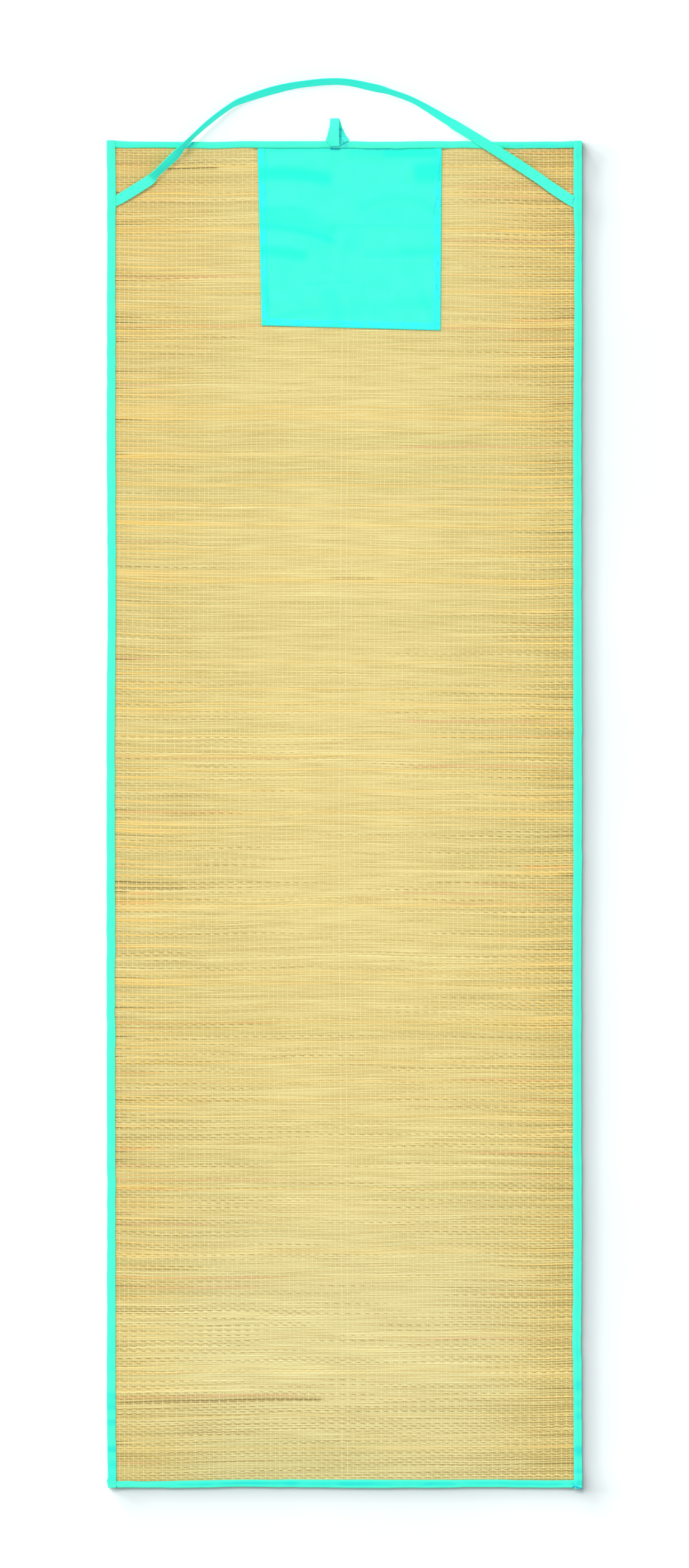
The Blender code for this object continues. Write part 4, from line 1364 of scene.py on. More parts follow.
def loop_mesh(name):
    """The small loop: both its limbs are sewn on the head binding, and the lower one spreads at the edge."""
    limbs = flowing(HANGING_LOOP, LOOP_STEPS)
    sections = []
    for i, limb in enumerate(limbs):
        before, after = neighbours(limbs, i)
        ahead = Vector((0, after.y - before.y, after.z - before.z)).normalized()
        through = Vector((0, -ahead.z, ahead.y)) * LOOP_THICK / 2
        middle = Vector((limb.x, limb.y, max(limb.z, LOOP_THICK / 2)))
        sections.append(tape_section(middle, Vector((limb.width / 2, 0, 0)), through))
    mesh = tube_mesh(name, np.array(sections)[:, ::-1])
    # A little of the strap's brighter, bluer colour, all over the loop
    set_values(mesh, "turned", np.full(len(mesh.vertices), 0.15))
    return mesh


# A stitch: how far along it each ring stands, and the ring's size
STITCH_RINGS = ((0.0, 0.35), (0.22, 1.0), (0.78, 1.0), (1.0, 0.35))
STITCH_SIDES = 4
STITCH_STRAY = 0.00008


def stitch_mesh(name, paths, cloth, draw):
    """A row of stitches along each path: short threads that come up, run along it and go down again."""
    points, quads, caps = [], [], []
    for path in paths:
        along = distances(path)
        pitch = cloth.stitch_length + cloth.stitch_gap
        count = int(along[-1] / pitch)
        for i in range(count):
            start = i * pitch + draw.normal(0, STITCH_STRAY)
            stations = [start + share * cloth.stitch_length for share, _ in STITCH_RINGS]
            spots = np.array([[np.interp(at, along, path[:, k]) for k in range(3)] for at in stations])
            ahead = spots[-1] - spots[0]
            ahead = ahead / np.linalg.norm(ahead)
            aside = np.cross(ahead, (0, 0, 1))
            aside = aside / np.linalg.norm(aside)
            first = len(points) * STITCH_SIDES
            for spot, (_, size) in zip(spots, STITCH_RINGS):
                wide = aside * cloth.stitch_width / 2 * size
                high = np.array((0, 0, cloth.stitch_width * 0.42 * size))
                points.append([spot + wide, spot + high, spot - wide, spot - high * 0.5])
            quads.append(tube_quads(len(STITCH_RINGS), STITCH_SIDES).reshape(-1, 4)[:, ::-1] + first)
            caps += [cap[::-1] for cap in tube_caps(len(STITCH_RINGS), STITCH_SIDES, first)]
    quads = np.concatenate(quads)
    return new_mesh(name, np.array(points), quads, np.zeros((*quads.shape, 2)), caps)


class Term:
    """A number, a vector or a colour that comes out of a shader node. Arithmetic on it adds more nodes."""

    def __init__(self, made, output=0):
        self.tree, self.socket = made.id_data, made.outputs[output]

    def __add__(self, other):
        return calc("ADD", self, other)

    def __sub__(self, other):
        return calc("SUBTRACT", self, other)

    def __rsub__(self, other):
        return calc("SUBTRACT", other, self)

    def __mul__(self, other):
        return calc("MULTIPLY", self, other)

    def __truediv__(self, other):
        return calc("DIVIDE", self, other)

    def __rtruediv__(self, other):
        return calc("DIVIDE", other, self)

    def __abs__(self):
        return calc("ABSOLUTE", self)


def fill(made, inputs):
    """Sets a node's inputs, or links them to terms."""
    for key, value in inputs.items():
        if isinstance(value, Term):
            made.id_data.links.new(value.socket, made.inputs[key])
        else:
            made.inputs[key].default_value = value


def node(tree, kind, inputs=None, **settings):
    """Adds a shader node with its inputs and settings."""
    made = tree.nodes.new(kind)
    for key, value in settings.items():
        setattr(made, key, value)
    fill(made, inputs or {})
    return made


def calc(operation, first, second=0.0, clamp=False):
    """One step of arithmetic on terms, or on a term and a plain number."""
    tree = (first if isinstance(first, Term) else second).tree
    return Term(node(tree, "ShaderNodeMath", {0: first, 1: second}, operation=operation, use_clamp=clamp))


def reckoned(operation, first, second):
    """One step of vector arithmetic."""
    made = node(first.tree, "ShaderNodeVectorMath", {0: first, 1: second}, operation=operation)
    return Term(made, "Value" if operation in ("DOT_PRODUCT", "DISTANCE") else "Vector")


def reading(tree, name):
    """A number that the mesh gives each of its points."""
    return Term(node(tree, "ShaderNodeAttribute", attribute_name=name), "Fac")


def cloth_map(tree):
    """The cloth's own map, in metres along and across."""
    return Term(node(tree, "ShaderNodeUVMap", uv_map="run"))


def place_in(tree):
    """Where a point lies, in metres from the mat's middle."""
    return Term(node(tree, "ShaderNodeTexCoord"), "Object")


def parted(vector):
    """The first two parts of a vector."""
    made = node(vector.tree, "ShaderNodeSeparateXYZ", {0: vector})
    return Term(made, "X"), Term(made, "Y")


def stretched(vector, scale):
    """A vector with its three parts scaled on their own."""
    return Term(node(vector.tree, "ShaderNodeMapping", {"Vector": vector, "Scale": scale}))


def noise(vector, scale, detail=2.0, roughness=0.5):
    """Noise from 0 to 1."""
    inputs = {"Vector": vector, "Scale": scale, "Detail": detail, "Roughness": roughness}
    return Term(node(vector.tree, "ShaderNodeTexNoise", inputs), "Fac")


def rescaled(value, low, high, new_low=0.0, new_high=1.0):
    """A value between low and high as one between two others, kept within them."""
    inputs = {"Value": value, "From Min": low, "From Max": high, "To Min": new_low, "To Max": new_high}
    return Term(node(value.tree, "ShaderNodeMapRange", inputs, clamp=True, interpolation_type="SMOOTHSTEP"))


def mixed(share, first, second):
    """Two colours mixed by a share."""
    first, second = (colour if isinstance(colour, Term) else (*colour, 1) for colour in (first, second))
    return Term(node(share.tree, "ShaderNodeMix", {0: share, 6: first, 7: second}, data_type="RGBA"), 2)


def bump(height, distance, strength):
    """A surface's fine relief."""
    inputs = {"Height": height, "Distance": distance, "Strength": strength}
    return Term(node(height.tree, "ShaderNodeBump", inputs))


def shared(made, name, make):
    """A material or a group of nodes that several things share, made once."""
    return made.get(name) or make(name)


def new_group(name, inputs, outputs):
    """A shader group, its inputs as terms and its output node. An input without a default is a vector."""
    group = bpy.data.node_groups.new(name, "ShaderNodeTree")
    for socket, default in inputs.items():
        kind = "NodeSocketVector" if default is None else "NodeSocketFloat"
        made = group.interface.new_socket(socket, in_out="INPUT", socket_type=kind)
        if default is not None:
            made.default_value = default
    for socket in outputs:
        group.interface.new_socket(socket, in_out="OUTPUT", socket_type="NodeSocketFloat")
    given = group.nodes.new("NodeGroupInput")
    return group, [Term(given, socket) for socket in inputs], group.nodes.new("NodeGroupOutput")


def weave_group(name):
    """The threads of a cloth: a plain weave, a twill or something between them."""
    inputs = {"Run": None, "Thread": 0.0005, "Twill": 1.0, "Uneven": 0.3}
    group, (run, thread, twill, uneven), result = new_group(name, inputs, ("Height", "Shade", "Hatch"))
    along, across = parted(run)
    turns = math.tau / thread
    warp, weft = along * turns, across * turns
    slanted = calc("SINE", warp * 0.5 + weft * 0.5)
    plain = calc("SINE", warp) * calc("SINE", weft)
    slubs = noise(stretched(run, (900, 2200, 1)), 1.0) - 0.5
    height = slanted * twill + plain * (1.0 - twill) + slubs * uneven

    # Hatching coarse enough to show from afar, in the painted shade where the cloth leans away from the
    # light
    rising = calc("SINE", warp * HATCH_SHARE + weft * HATCH_SHARE)
    falling = calc("SINE", warp * HATCH_SHARE - weft * HATCH_SHARE)
    hatch = rising * (falling * 0.3 + 0.7)

    # Clouds of dye, drawn out along the threads
    cloudy = noise(run, 45.0, 3.0) - 0.5
    drawn = noise(stretched(run, (1100, 30, 1)), 1.0, 1.0) - 0.5
    shade = height * 0.25 + (cloudy * 1.5 + drawn * 0.7)
    fill(result, {"Height": height, "Shade": shade, "Hatch": hatch})
    return group


def fold_shade_group(name):
    """How deep the painted shade of one fold line is at a place on the cloth: from 0, away from it, to its
    depth.
    """
    inputs = {"Place": None, "From": None, "To": None, "Wide": 0.001, "Deep": 1.0}
    group, (place, start, stop, wide, deep), result = new_group(name, inputs, ("Depth",))
    run = reckoned("SUBTRACT", stop, start)
    reach = reckoned("SUBTRACT", place, start)
    along = reckoned("DOT_PRODUCT", reach, run)
    share = calc("DIVIDE", along, reckoned("DOT_PRODUCT", run, run), clamp=True)
    nearest = Term(node(group, "ShaderNodeVectorMath", {0: run, "Scale": share}, operation="SCALE"))
    off = reckoned("DISTANCE", reach, nearest)
    fill(result, {"Depth": rescaled(off / wide, 1.0, 0.15) * deep})
    return group


def fold_shades_at(depth, folds):
    """The deepest painted shade of a given depth and a list of fold lines, where the cloth is seen from
    above.
    """
    spot = place_in(depth.tree)
    place = reckoned("MULTIPLY", spot, (1.0, 1.0, 0.0))
    group = shared(bpy.data.node_groups, "fold_line", fold_shade_group)
    for fold in folds:
        ends = {"From": (fold.x0, fold.y0, 0.0), "To": (fold.x1, fold.y1, 0.0)}
        inputs = {"Place": place, **ends, "Wide": fold.wide, "Deep": fold.deep}
        line = node(depth.tree, "ShaderNodeGroup", inputs, node_tree=group)
        depth = calc("MAXIMUM", depth, Term(line, "Depth"))
    grain = rescaled(noise(spot, 420.0, 1.0), 0.40, 0.58, 0.50, 1.0)
    return calc("MINIMUM", depth * grain, 1.0)


def new_material(name):
    """A material with its node tree and its shader."""
    material = bpy.data.materials.new(name)
    material.use_nodes = True
    tree = material.node_tree
    return material, tree, tree.nodes["Principled BSDF"]


Stem = namedtuple("Stem", "along across tone root rust stain fibre dried length split")


def read_stems(tree):
    """What the mesh says of its stems, with their fibres and the lengths where each dried or split."""
    along, across = parted(cloth_map(tree))
    own = reading(tree, "sheen") * STEM_APART
    spot = Term(node(tree, "ShaderNodeCombineXYZ", {0: along, 1: across, 2: own}))
    fibre = noise(stretched(spot, (0.12, 3.4, 1.0)), 1.0, 2.0, 0.6)
    dried = noise(stretched(spot, (0.06, 0.9, 1.0)), 1.0, 2.0)
    length = noise(stretched(spot, (0.07, 0.0, 3.0)), 1.0, 1.0)
    split = noise(stretched(spot, (0.06, 0.0, 5.0)), 1.0, 1.0)
    told = [reading(tree, name) for name in ("tone", "root", "rust", "stain")]
    return Stem(along, across, *told, fibre, dried, length, split)


def stem_colour(stem, colours):
    """Paler or greener by its tone, warmer towards its root and duller towards its tip, and fibrous."""
    shade = stem.tone + (stem.dried - 0.5)
    colour = mixed(rescaled(shade, 0.1, 1.7), colours.straw, colours.pale)
    colour = mixed(rescaled(shade, -0.15, -1.7), colour, colours.olive)
    colour = mixed(rescaled(stem.root, 0.40, 0.0) * 0.72, colour, colours.dull)
    colour = mixed(stem.rust * 0.90, colour, colours.ochre)
    colour = mixed(rescaled(stem.fibre, 0.50, 0.30, 0.0, 0.55), colour, colours.shadow)
    calm = rescaled(stem.rust, 0.1, 0.9, 1.0, 0.35)
    return mixed(rescaled(stem.fibre, 0.52, 0.70, 0.0, 0.50) * calm, colour, colours.pale)


def aged_colour(stem, place, colour, colours):
    """Greener at the foot end, duller at the right edge, browner at the head's corners, partly as painted
    shade near the strap, and stained.
    """
    x, y = place
    fresh = rescaled(y, -0.25, -0.70, 0.0, 0.38) * rescaled(abs(x), 0.30, 0.14, 0.15, 1.0)
    colour = mixed(fresh, colour, colours.fresh)
    edge_mask = rescaled(x, 0.215, 0.292, 0.0, 0.80) * rescaled(stem.rust, 0.15, 0.60, 1.0, 0.12)
    colour = mixed(edge_mask, colour, colours.weathered)
    # Browner towards the head's corners: partly the rush's own colour, partly painted shade near the strap
    head_brown_and_shade = rescaled(y, 0.35, 0.60, 0.0, 0.13) + rescaled(y, 0.68, 0.82, 0.0, 0.20)
    colour = mixed(rescaled(abs(x), 0.12, 0.27) * head_brown_and_shade, colour, colours.aged_and_shaded)
    colour = mixed(stem.stain * -1.0, colour, colours.red)
    return mixed(stem.stain, colour, colours.brown)


def highlighted_and_shaded_colour(stem, place, colour, colours):
    """With a pale painted highlight near its ridge, painted shade in a groove and on its tan sides, and
    brown painted shade where the gap beside it is open.
    """
    off = calc("FRACT", stem.across) - 0.5
    # Painted highlights as a pale line near the ridge and a gold line on reddish stems. The rush is also
    # paler at each string
    off_highlight = abs(off - (stem.length - 0.5) * 0.9)
    line = rescaled(off_highlight, 0.15, 0.03) * rescaled(stem.dried, 0.40, 0.65, 0.10, 0.75)
    gleam = rescaled(off_highlight, 0.22, 0.06) * (stem.rust * 0.9)
    off_string = abs(calc("FRACT", stem.along + 0.5) - 0.5)
    pressed = rescaled(off_string, 0.11, 0.03, 0.0, 0.42)
    lightest = calc("MAXIMUM", calc("MAXIMUM", line, gleam), pressed)
    colour = mixed(lightest, colour, mixed(stem.rust, colours.pale, colours.gold))
    # Painted shade in a groove along the stem, deeper towards the foot, and on the stem's sides
    groove = rescaled(abs(off - (stem.split - 0.5) * 1.9), 0.16, 0.05)
    deep = rescaled(stem.dried, 0.62, 0.38, 0.35, 0.9) * rescaled(place[1], 0.2, -0.6, 0.6, 1.0)
    colour = mixed(groove * deep, colour, colours.shadow)
    seam = rescaled(abs(off), 0.30, 0.5) * rescaled(stem.length, 0.40, 0.62, 0.10, 0.60)
    colour = mixed(seam, colour, colours.shadow)
    # Painted shade where the gap beside the stem is open
    return mixed(rescaled(reading(off.tree, "gap"), 0.25, 0.85), colour, colours.gap)


def rush_material(colours):
    """Dry rush, in which each stem has its own tone, with painted highlights and painted shade."""
    material, tree, shader = new_material("dry_rush")
    stem, place = read_stems(tree), parted(place_in(tree))
    colour = aged_colour(stem, place, stem_colour(stem, colours), colours)
    colour = highlighted_and_shaded_colour(stem, place, colour, colours)
    gloss = rescaled(stem.fibre, 0.25, 0.75, 0.62, 0.46)
    fill(shader, {"Base Color": colour, "Roughness": gloss, "Specular IOR Level": 0.30})
    fill(shader, {"Normal": bump(stem.fibre, 0.00025, 0.7)})
    return material


def string_material(colours):
    """Undyed cotton string, with painted shade where it dives between the rushes and between the strands of
    its twist.
    """
    material, tree, shader = new_material("cotton_string")
    along, across = parted(cloth_map(tree))
    twist = calc("SINE", (along + across * 0.11) * TWIST)
    # The string is painted in shade where it dives under a rush, partly on the dimmer crossings, and between
    # the strands of its twist
    colour = mixed(rescaled(reading(tree, "shown"), 0.05, 0.50), colours.shaded_string, colours.string)
    colour = mixed(rescaled(twist, -1.0, 1.0, 0.0, 0.18), colour, colours.shaded_string)
    fill(shader, {"Base Color": colour, "Roughness": 0.9, "Specular IOR Level": 0.2})
    fill(shader, {"Normal": bump(twist, 0.0001, 0.6)})
    return material


def cloth_material(name, cloth, kind):
    """Dyed cloth: its threads, soft clouds of deeper dye and the colour of its hems, with painted shade on
    its creases and folds, and painted light where the strap stands up.
    """
    material, tree, shader = new_material(name)
    inputs = {"Run": cloth_map(tree), "Thread": kind.thread, "Twill": kind.twill}
    group = shared(bpy.data.node_groups, "cloth_threads", weave_group)
    threads = node(tree, "ShaderNodeGroup", inputs, node_tree=group)
    height, shade, hatch = (Term(threads, output) for output in ("Height", "Shade", "Hatch"))
    colour = mixed(rescaled(shade, -0.35, 0.75, 0.0, 0.8), kind.colour, kind.deep)
    colour = mixed(reading(tree, "hem"), colour, cloth.hem)
    # Painted shade on creases that lean away from the light, broken by the threads' hatching
    hatched_crease_shade = reading(tree, "crease") * rescaled(hatch, -0.6, 0.6, 0.72, 1.0)
    colour = mixed(hatched_crease_shade, colour, kind.crease)
    # Painted light where the strap stands on its edge, and a little on the flat strap and the loop
    colour = mixed(reading(tree, "turned"), colour, cloth.turned)
    # Painted shade in folds, in gaps and under what lies close above, and the hatching in the crease shade
    checked_crease_shade = hatched_crease_shade * rescaled(hatch, 0.0, 0.8, 0.0, kind.checks)
    folded = fold_shades_at(reading(tree, "fold"), kind.folds)
    colour = mixed(calc("MAXIMUM", checked_crease_shade, folded), colour, cloth.fold)
    fill(shader, {"Base Color": colour, "Roughness": 0.85, "Specular IOR Level": 0.2})
    fill(shader, {"Sheen Weight": 0.15, "Sheen Roughness": 0.5, "Sheen Tint": (0.55, 1.0, 0.95, 1)})
    fill(shader, {"Normal": bump(height, 0.00009, 0.55)})
    return material


def thread_material(name):
    """Sewing thread with its twist."""
    material, tree, shader = new_material(name)
    grain = noise(place_in(tree), 2600.0)
    cloth = bpy.context.scene.mat_cloth
    colour = mixed(rescaled(grain, 0.3, 0.7, 0.0, 0.3), cloth.thread, cloth.thread_shade)
    fill(shader, {"Base Color": colour, "Roughness": 0.7, "Normal": bump(grain, 0.0001, 0.4)})
    return material


def floor_material(colour):
    """A plain white sweep with the faintest grain."""
    material, tree, shader = new_material("white_floor")
    grain = rescaled(noise(place_in(tree), 3.0), 0.3, 0.7, 0.0, 0.03)
    colour = mixed(grain, colour, (1.0, 1.0, 1.0))
    fill(shader, {"Base Color": colour, "Roughness": 0.9, "Specular IOR Level": 0.1})
    return material


def size_property(name, description, default):
    """A length that a user can change."""
    return FloatProperty(
        name=name, description=description, default=default, min=0.0, precision=5, unit="LENGTH"
    )


def colour_property(name, description, default):
    """A colour that a user can change."""
    return FloatVectorProperty(
        name=name, description=description, default=default, size=3, min=0.0, max=1.0, subtype="COLOR"
    )


class MatWeaveSettings(PropertyGroup):
    """Sizes of the woven panel."""

    rush_pitch: size_property("Rush pitch", "From one rush to the next", 0.0031)
    rush_height: size_property("Rush height", "Height of an average rush", 0.00086)
    string_pitch: size_property("String pitch", "From one string to the next", 0.0059)
    string_jitter: size_property("String jitter", "How far strings stray from their places", 0.0004)
    string_width: size_property("String width", "Width of a string where it shows", 0.00084)
    string_height: size_property("String height", "Thickness of a string", 0.00020)
    pinch: FloatProperty(name="Pinch", description="Share of the pitch that a string draws up", default=0.16)
    drift: size_property("Drift", "How far the rows wander", 0.00035)
    seed: IntProperty(name="Seed", description="Which bundle of rushes is woven", default=11)


class MatWeaveColours(PropertyGroup):
    """Colours of the rushes and strings."""

    straw: colour_property("Straw", "Most of the rushes", (0.745, 0.588, 0.228))
    # Also the painted highlight along a line near each stem's ridge
    pale: colour_property("Pale", "The palest rushes", (0.91, 0.765, 0.335))
    olive: colour_property("Olive", "Rushes that dried green", (0.60, 0.505, 0.175))
    dull: colour_property("Dull", "Stems' tips", (0.585, 0.465, 0.160))
    ochre: colour_property("Ochre", "Stems' roots", (0.87, 0.560, 0.150))
    brown: colour_property("Brown", "Stained rushes", (0.20, 0.13, 0.030))
    # The stems' darker fibres, and the painted shade on a rush's sides and in its groove
    shadow: colour_property("Shadow", "The sides of a rush", (0.49, 0.335, 0.090))
    # Painted shade in open gaps between rushes and beside the strings
    gap: colour_property("Gap", "Inside an open gap between rushes", (0.34, 0.225, 0.050))
    fresh: colour_property("Fresh", "Greener rush towards the foot end", (0.67, 0.655, 0.36))
    weathered: colour_property("Weathered", "Duller rush at the right edge", (0.55, 0.425, 0.133))
    # Partly the rush's own browning, partly painted shade near the strap
    aged_and_shaded: colour_property("Aged", "Browner rush at the head's corners", (0.63, 0.32, 0.07))
    red: colour_property("Red", "Stems that dried red", (0.66, 0.25, 0.12))
    # The painted highlight along a reddish rush
    gold: colour_property("Gold", "The bright line along a reddish rush", (1.0, 0.69, 0.18))
    # The string in full light, and its painted shade
    string: colour_property("String", "Clean string", (0.93, 0.80, 0.46))
    shaded_string: colour_property("Dusty string", "String between the rushes", (0.88, 0.73, 0.33))


class MatClothSettings(PropertyGroup):
    """Sizes and colours of the sewn cloth."""

    tape: colour_property("Tape", "The tapes, the strap and the loop", (0.082, 0.95, 0.625))
    tape_deep: colour_property("Deep tape", "Where the tape's dye is deeper", (0.045, 0.86, 0.60))
    patch: colour_property("Patch", "The patch", (0.061, 0.93, 0.685))
    patch_deep: colour_property("Deep patch", "Where the patch's dye is deeper", (0.038, 0.90, 0.655))
    hem: colour_property("Hem", "The patch's double cloth", (0.034, 0.97, 0.90))
    # Painted shade on the slopes of creases that lean away from the light, on the patch and on the tapes
    crease: colour_property("Crease", "Slopes of the cloth's creases", (0.012, 0.95, 0.68))
    tape_crease_shade: colour_property("Tape crease", "Slopes of the tapes' creases", (0.014, 0.80, 0.62))
    # Painted light: brighter and bluer than the tape where the strap stands on its edge and gets less light.
    # A little of it tints the flat strap and the loop
    turned: colour_property("Turned", "The strap where it stands on its edge", (0.022, 1.0, 0.82))
    # Painted shade in deep folds and gaps, and painted shadows of what lies close above
    fold: colour_property("Fold", "Deep folds and gaps", (0.006, 0.33, 0.60))
    thread: colour_property("Thread", "The stitches", (0.055, 0.88, 0.64))
    thread_shade: colour_property("Thread's shade", "Between the thread's strands", (0.01, 0.45, 0.42))
    tape_thread: size_property("Tape's threads", "From thread to thread in the tape", 0.0006)
    patch_thread: size_property("Patch's threads", "From thread to thread in the patch", 0.0005)
    end_seam: size_property("End seam", "From the end tapes' inner edges to their stitches", 0.0017)
    side_seam: size_property("Side seam", "From the side tapes' inner edges to their stitches", 0.0030)
    stitch_length: size_property("Stitch length", "Length of a stitch", 0.0022)
    stitch_gap: size_property("Stitch gap", "Between two stitches", 0.0010)
    stitch_width: size_property("Stitch width", "Width of the thread", 0.00042)
    seed: IntProperty(name="Seed", description="How the cloth lies", default=5)


class MatStageSettings(PropertyGroup):
    """The floor, the lights and the camera."""

    floor: colour_property("Floor", "The sweep that the mat lies on", (0.405, 0.434, 0.432))
    floor_size: size_property("Floor size", "Side of the floor", 30.0)
    view_length: size_property("View length", "How much of the floor the picture's height shows", 1.9815)
    view_middle: FloatProperty(
        name="View middle", description="Place along the mat under the camera", default=0.0381, unit="LENGTH"
    )
    camera_height: size_property("Camera height", "Height above the floor", 16.0)
    head_light: FloatProperty(name="Head light", description="Sun from the head end", default=1.56)
    left_light: FloatProperty(name="Left light", description="Low soft sun from the left", default=0.3)
    floor_light: FloatProperty(
        name="Floor light", description="Low suns that only the floor gets", default=5.2
    )
    sky_light: FloatProperty(name="Sky light", description="Light from all round", default=0.84)
    sky: colour_property("Sky", "Colour of the light from all round", (0.90, 0.97, 1.0))


def cloth_draw(number):
    """The chance that one cloth piece lies as it does."""
    return np.random.default_rng([bpy.context.scene.mat_cloth.seed, number])


def tape_cloth():
    """The material of the tapes, the strap and the loop."""
    cloth = bpy.context.scene.mat_cloth
    kind = Cloth(cloth.tape, cloth.tape_deep, cloth.tape_crease_shade, cloth.tape_thread, 0.85, 0.75, TAPE_FOLDS)
    return shared(bpy.data.materials, "turquoise_tape", lambda name: cloth_material(name, cloth, kind))


def add_stitches(name, paths, number):
    """Sews a seam along each path."""
    mesh = stitch_mesh(name, paths, bpy.context.scene.mat_cloth, cloth_draw(number))
    thread = shared(bpy.data.materials, "sewing_thread", thread_material)
    return add_piece(mesh, thread, "binding_cloth")


class MAT_OT_weave_panel(Operator):
    """Weave the panel: every rush, and every string over and under them"""

    bl_idname = "beach_mat.weave_panel"
    bl_label = "Weave panel"

    def execute(self, context):
        sizes, colours = context.scene.mat_weave, context.scene.mat_colours
        weave = lay_out_weave(sizes)
        rush, cotton = rush_material(colours), string_material(colours)
        for number, band in enumerate(BANDS):
            first, last = band_rows(weave, number)
            rushes = add_piece(rush_band(f"rushes_{band}", weave, first, last), rush, "rush", "straw_panel")
            strings = add_piece(string_band(f"strings_{band}", weave, first, last, sizes), cotton, "rush")
            long = (PANEL_HIGH.y - PANEL_LOW.y) * (last - first) / len(weave.y)
        return {"FINISHED"}


class MAT_OT_bind_ends(Operator):
    """Fold a tape round the head end and the foot end, and sew them"""

    bl_idname = "beach_mat.bind_ends"
    bl_label = "Bind ends"

    def execute(self, context):
        seam = context.scene.mat_cloth.end_seam
        for name, rows, end in (("binding_top", HEAD_EDGE, 1), ("binding_bottom", FOOT_EDGE, -1)):
            mesh, path = end_binding(f"{name}_tape", rows, end, seam, cloth_draw(2 + end))
            tape = add_piece(mesh, tape_cloth(), "binding_cloth", name)
            stitches = add_stitches(f"{name}_stitches", [path[4:-4]], 12 + end)
        return {"FINISHED"}


class MAT_OT_bind_sides(Operator):
    """Fold a tape round the left and the right edge, over the end tapes, and sew them"""

    bl_idname = "beach_mat.bind_sides"
    bl_label = "Bind sides"

    def execute(self, context):
        seam = context.scene.mat_cloth.side_seam
        for word, rows, side in (("left", LEFT_EDGE, -1), ("right", RIGHT_EDGE, 1)):
            name = f"binding_{word}"
            ends = STRAP_ENDS[word], SIDE_ENDS[word], CORNERS[word]
            mesh, path = side_binding(f"{name}_tape", rows, side, *ends, seam, cloth_draw(22 + side))
            tape = add_piece(mesh, tape_cloth(), "binding_cloth", name)
            stitches = add_stitches(f"{name}_stitches", [path[3:-3]], 32 + side)
        return {"FINISHED"}


class MAT_OT_sew_patch(Operator):
    """Lay the hemmed patch on the rush and sew it on"""

    bl_idname = "beach_mat.sew_patch"
    bl_label = "Sew patch"

    def execute(self, context):
        cloth = context.scene.mat_cloth
        mesh, path = patch_mesh("patch_cloth", cloth_draw(41))
        kind = Cloth(cloth.patch, cloth.patch_deep, cloth.crease, cloth.patch_thread, 0.15, 0.0, PATCH_FOLDS)
        dyed = cloth_material("turquoise_cloth", cloth, kind)
        patch = add_piece(mesh, dyed, "patch_cloth", "patch")
        stitches = add_stitches("patch_stitches", [path], 42)
        return {"FINISHED"}


class MAT_OT_run_strap(Operator):
    """Run the carrying strap from side to side beyond the head end"""

    bl_idname = "beach_mat.run_strap"
    bl_label = "Run strap"

    def execute(self, context):
        mesh = strap_mesh("strap_tape", cloth_draw(51))
        strap = add_piece(mesh, tape_cloth(), "binding_cloth", "carry_strap")
        return {"FINISHED"}


class MAT_OT_form_loop(Operator):
    """Fold the small hanging loop at the middle of the head end"""

    bl_idname = "beach_mat.form_loop"
    bl_label = "Form loop"

    def execute(self, context):
        loop = add_piece(loop_mesh("loop_tape"), tape_cloth(), "binding_cloth", "hang_loop")
        return {"FINISHED"}


def add_sun(name, towards, spread, strength, colour):
    """A sun that shines from a place far off, as soft as its spread."""
    bpy.ops.object.light_add(type="SUN", location=towards)
    sun = bpy.context.object
    sun.name = name
    sun.rotation_euler = Vector(towards).to_track_quat("Z", "Y").to_euler()
    sun.data.angle = math.radians(spread)
    sun.data.energy = strength
    sun.data.color = colour
    return sun


def only_for(light, lit, shading):
    """Keeps a light to what it may light, and its shadows to what may cast them."""
    for use, objects in (("receiver", lit), ("blocker", shading)):
        group = bpy.data.collections.new(f"{light.name}_{use}s")
        for thing in objects:
            group.objects.link(thing)
        setattr(light.light_linking, f"{use}_collection", group)


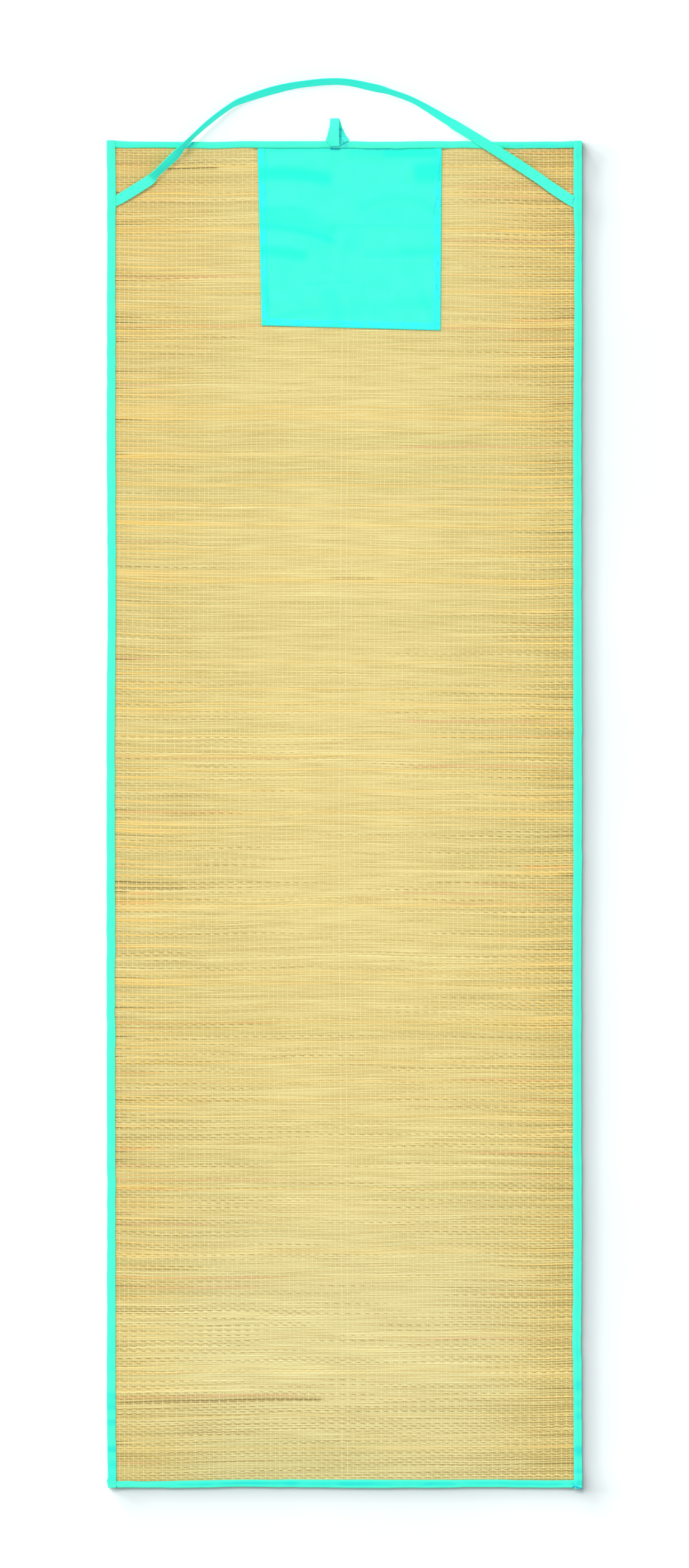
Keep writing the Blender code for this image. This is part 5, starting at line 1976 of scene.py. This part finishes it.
class MAT_OT_set_stage(Operator):
    """Lay the floor, light it and set the camera straight above"""

    bl_idname = "beach_mat.set_stage"
    bl_label = "Set stage"

    def execute(self, context):
        stage, scene = context.scene.mat_stage, context.scene
        bpy.ops.object.select_all(action="DESELECT")
        bpy.ops.mesh.primitive_plane_add(size=stage.floor_size, location=(0, 0, -FLOOR_GAP))
        floor = context.object
        floor.name = "floor"
        floor.data.materials.append(floor_material(stage.floor))
        add_sun("head_light", (-0.30, 0.75, 0.85), 16, stage.head_light, (1.0, 0.985, 0.96))
        add_sun("left_light", (-1.00, 0.25, 0.42), 50, stage.left_light, (1.0, 0.99, 0.97))
        lying = [thing for thing in scene.objects if thing.name.startswith(("binding", "rushes"))]
        for given in FLOOR_SUNS:
            angle = math.radians(given.angle)
            towards = (-math.cos(angle), math.sin(angle), given.height)
            strength = stage.floor_light * given.share
            sun = add_sun(given.name, towards, given.spread, strength, (1.0, 1.0, 1.0))
            only_for(sun, [floor], lying)
        world = bpy.data.worlds.new("studio")
        world.use_nodes = True
        back = world.node_tree.nodes["Background"].inputs
        back["Color"].default_value = (*stage.sky, 1)
        back["Strength"].default_value = stage.sky_light
        scene.world = world
        scene.view_settings.view_transform = "Standard"
        bpy.ops.object.camera_add(location=(0, stage.view_middle, stage.camera_height), rotation=(0, 0, 0))
        camera = context.object
        camera.name = "straight_above"
        camera.data.lens = camera.data.sensor_width * stage.camera_height / stage.view_length
        camera.data.clip_end = 100.0
        scene.camera = camera
        return {"FINISHED"}


class MAT_PT_maker(Panel):
    """Lists the settings and the steps that make the mat"""

    bl_label = "Beach mat"
    bl_space_type = "VIEW_3D"
    bl_region_type = "UI"
    bl_category = "Beach mat"

    def draw(self, context):
        for settings in SETTINGS:
            box = self.layout.box()
            group = getattr(context.scene, settings)
            for name in type(group).__annotations__:
                box.prop(group, name)
        for step in STEPS:
            self.layout.operator(step.bl_idname)


STEPS = (
    MAT_OT_weave_panel,
    MAT_OT_bind_ends,
    MAT_OT_bind_sides,
    MAT_OT_sew_patch,
    MAT_OT_run_strap,
    MAT_OT_form_loop,
    MAT_OT_set_stage,
)
SETTINGS = {
    "mat_weave": MatWeaveSettings,
    "mat_colours": MatWeaveColours,
    "mat_cloth": MatClothSettings,
    "mat_stage": MatStageSettings,
}


def register():
    """Makes the settings, the steps and the panel known to Blender."""
    for name, kind in SETTINGS.items():
        bpy.utils.register_class(kind)
        setattr(bpy.types.Scene, name, PointerProperty(type=kind))
    for kind in (*STEPS, MAT_PT_maker):
        bpy.utils.register_class(kind)


def unregister():
    """Takes them away again."""
    for kind in (MAT_PT_maker, *reversed(STEPS)):
        bpy.utils.unregister_class(kind)
    for name, kind in reversed(SETTINGS.items()):
        delattr(bpy.types.Scene, name)
        bpy.utils.unregister_class(kind)


def main():
    """Makes the whole mat, step by step."""
    register()
    for step in STEPS:
        area, name = step.bl_idname.split(".")
        getattr(getattr(bpy.ops, area), name)()


if __name__ == "__main__":
    main()
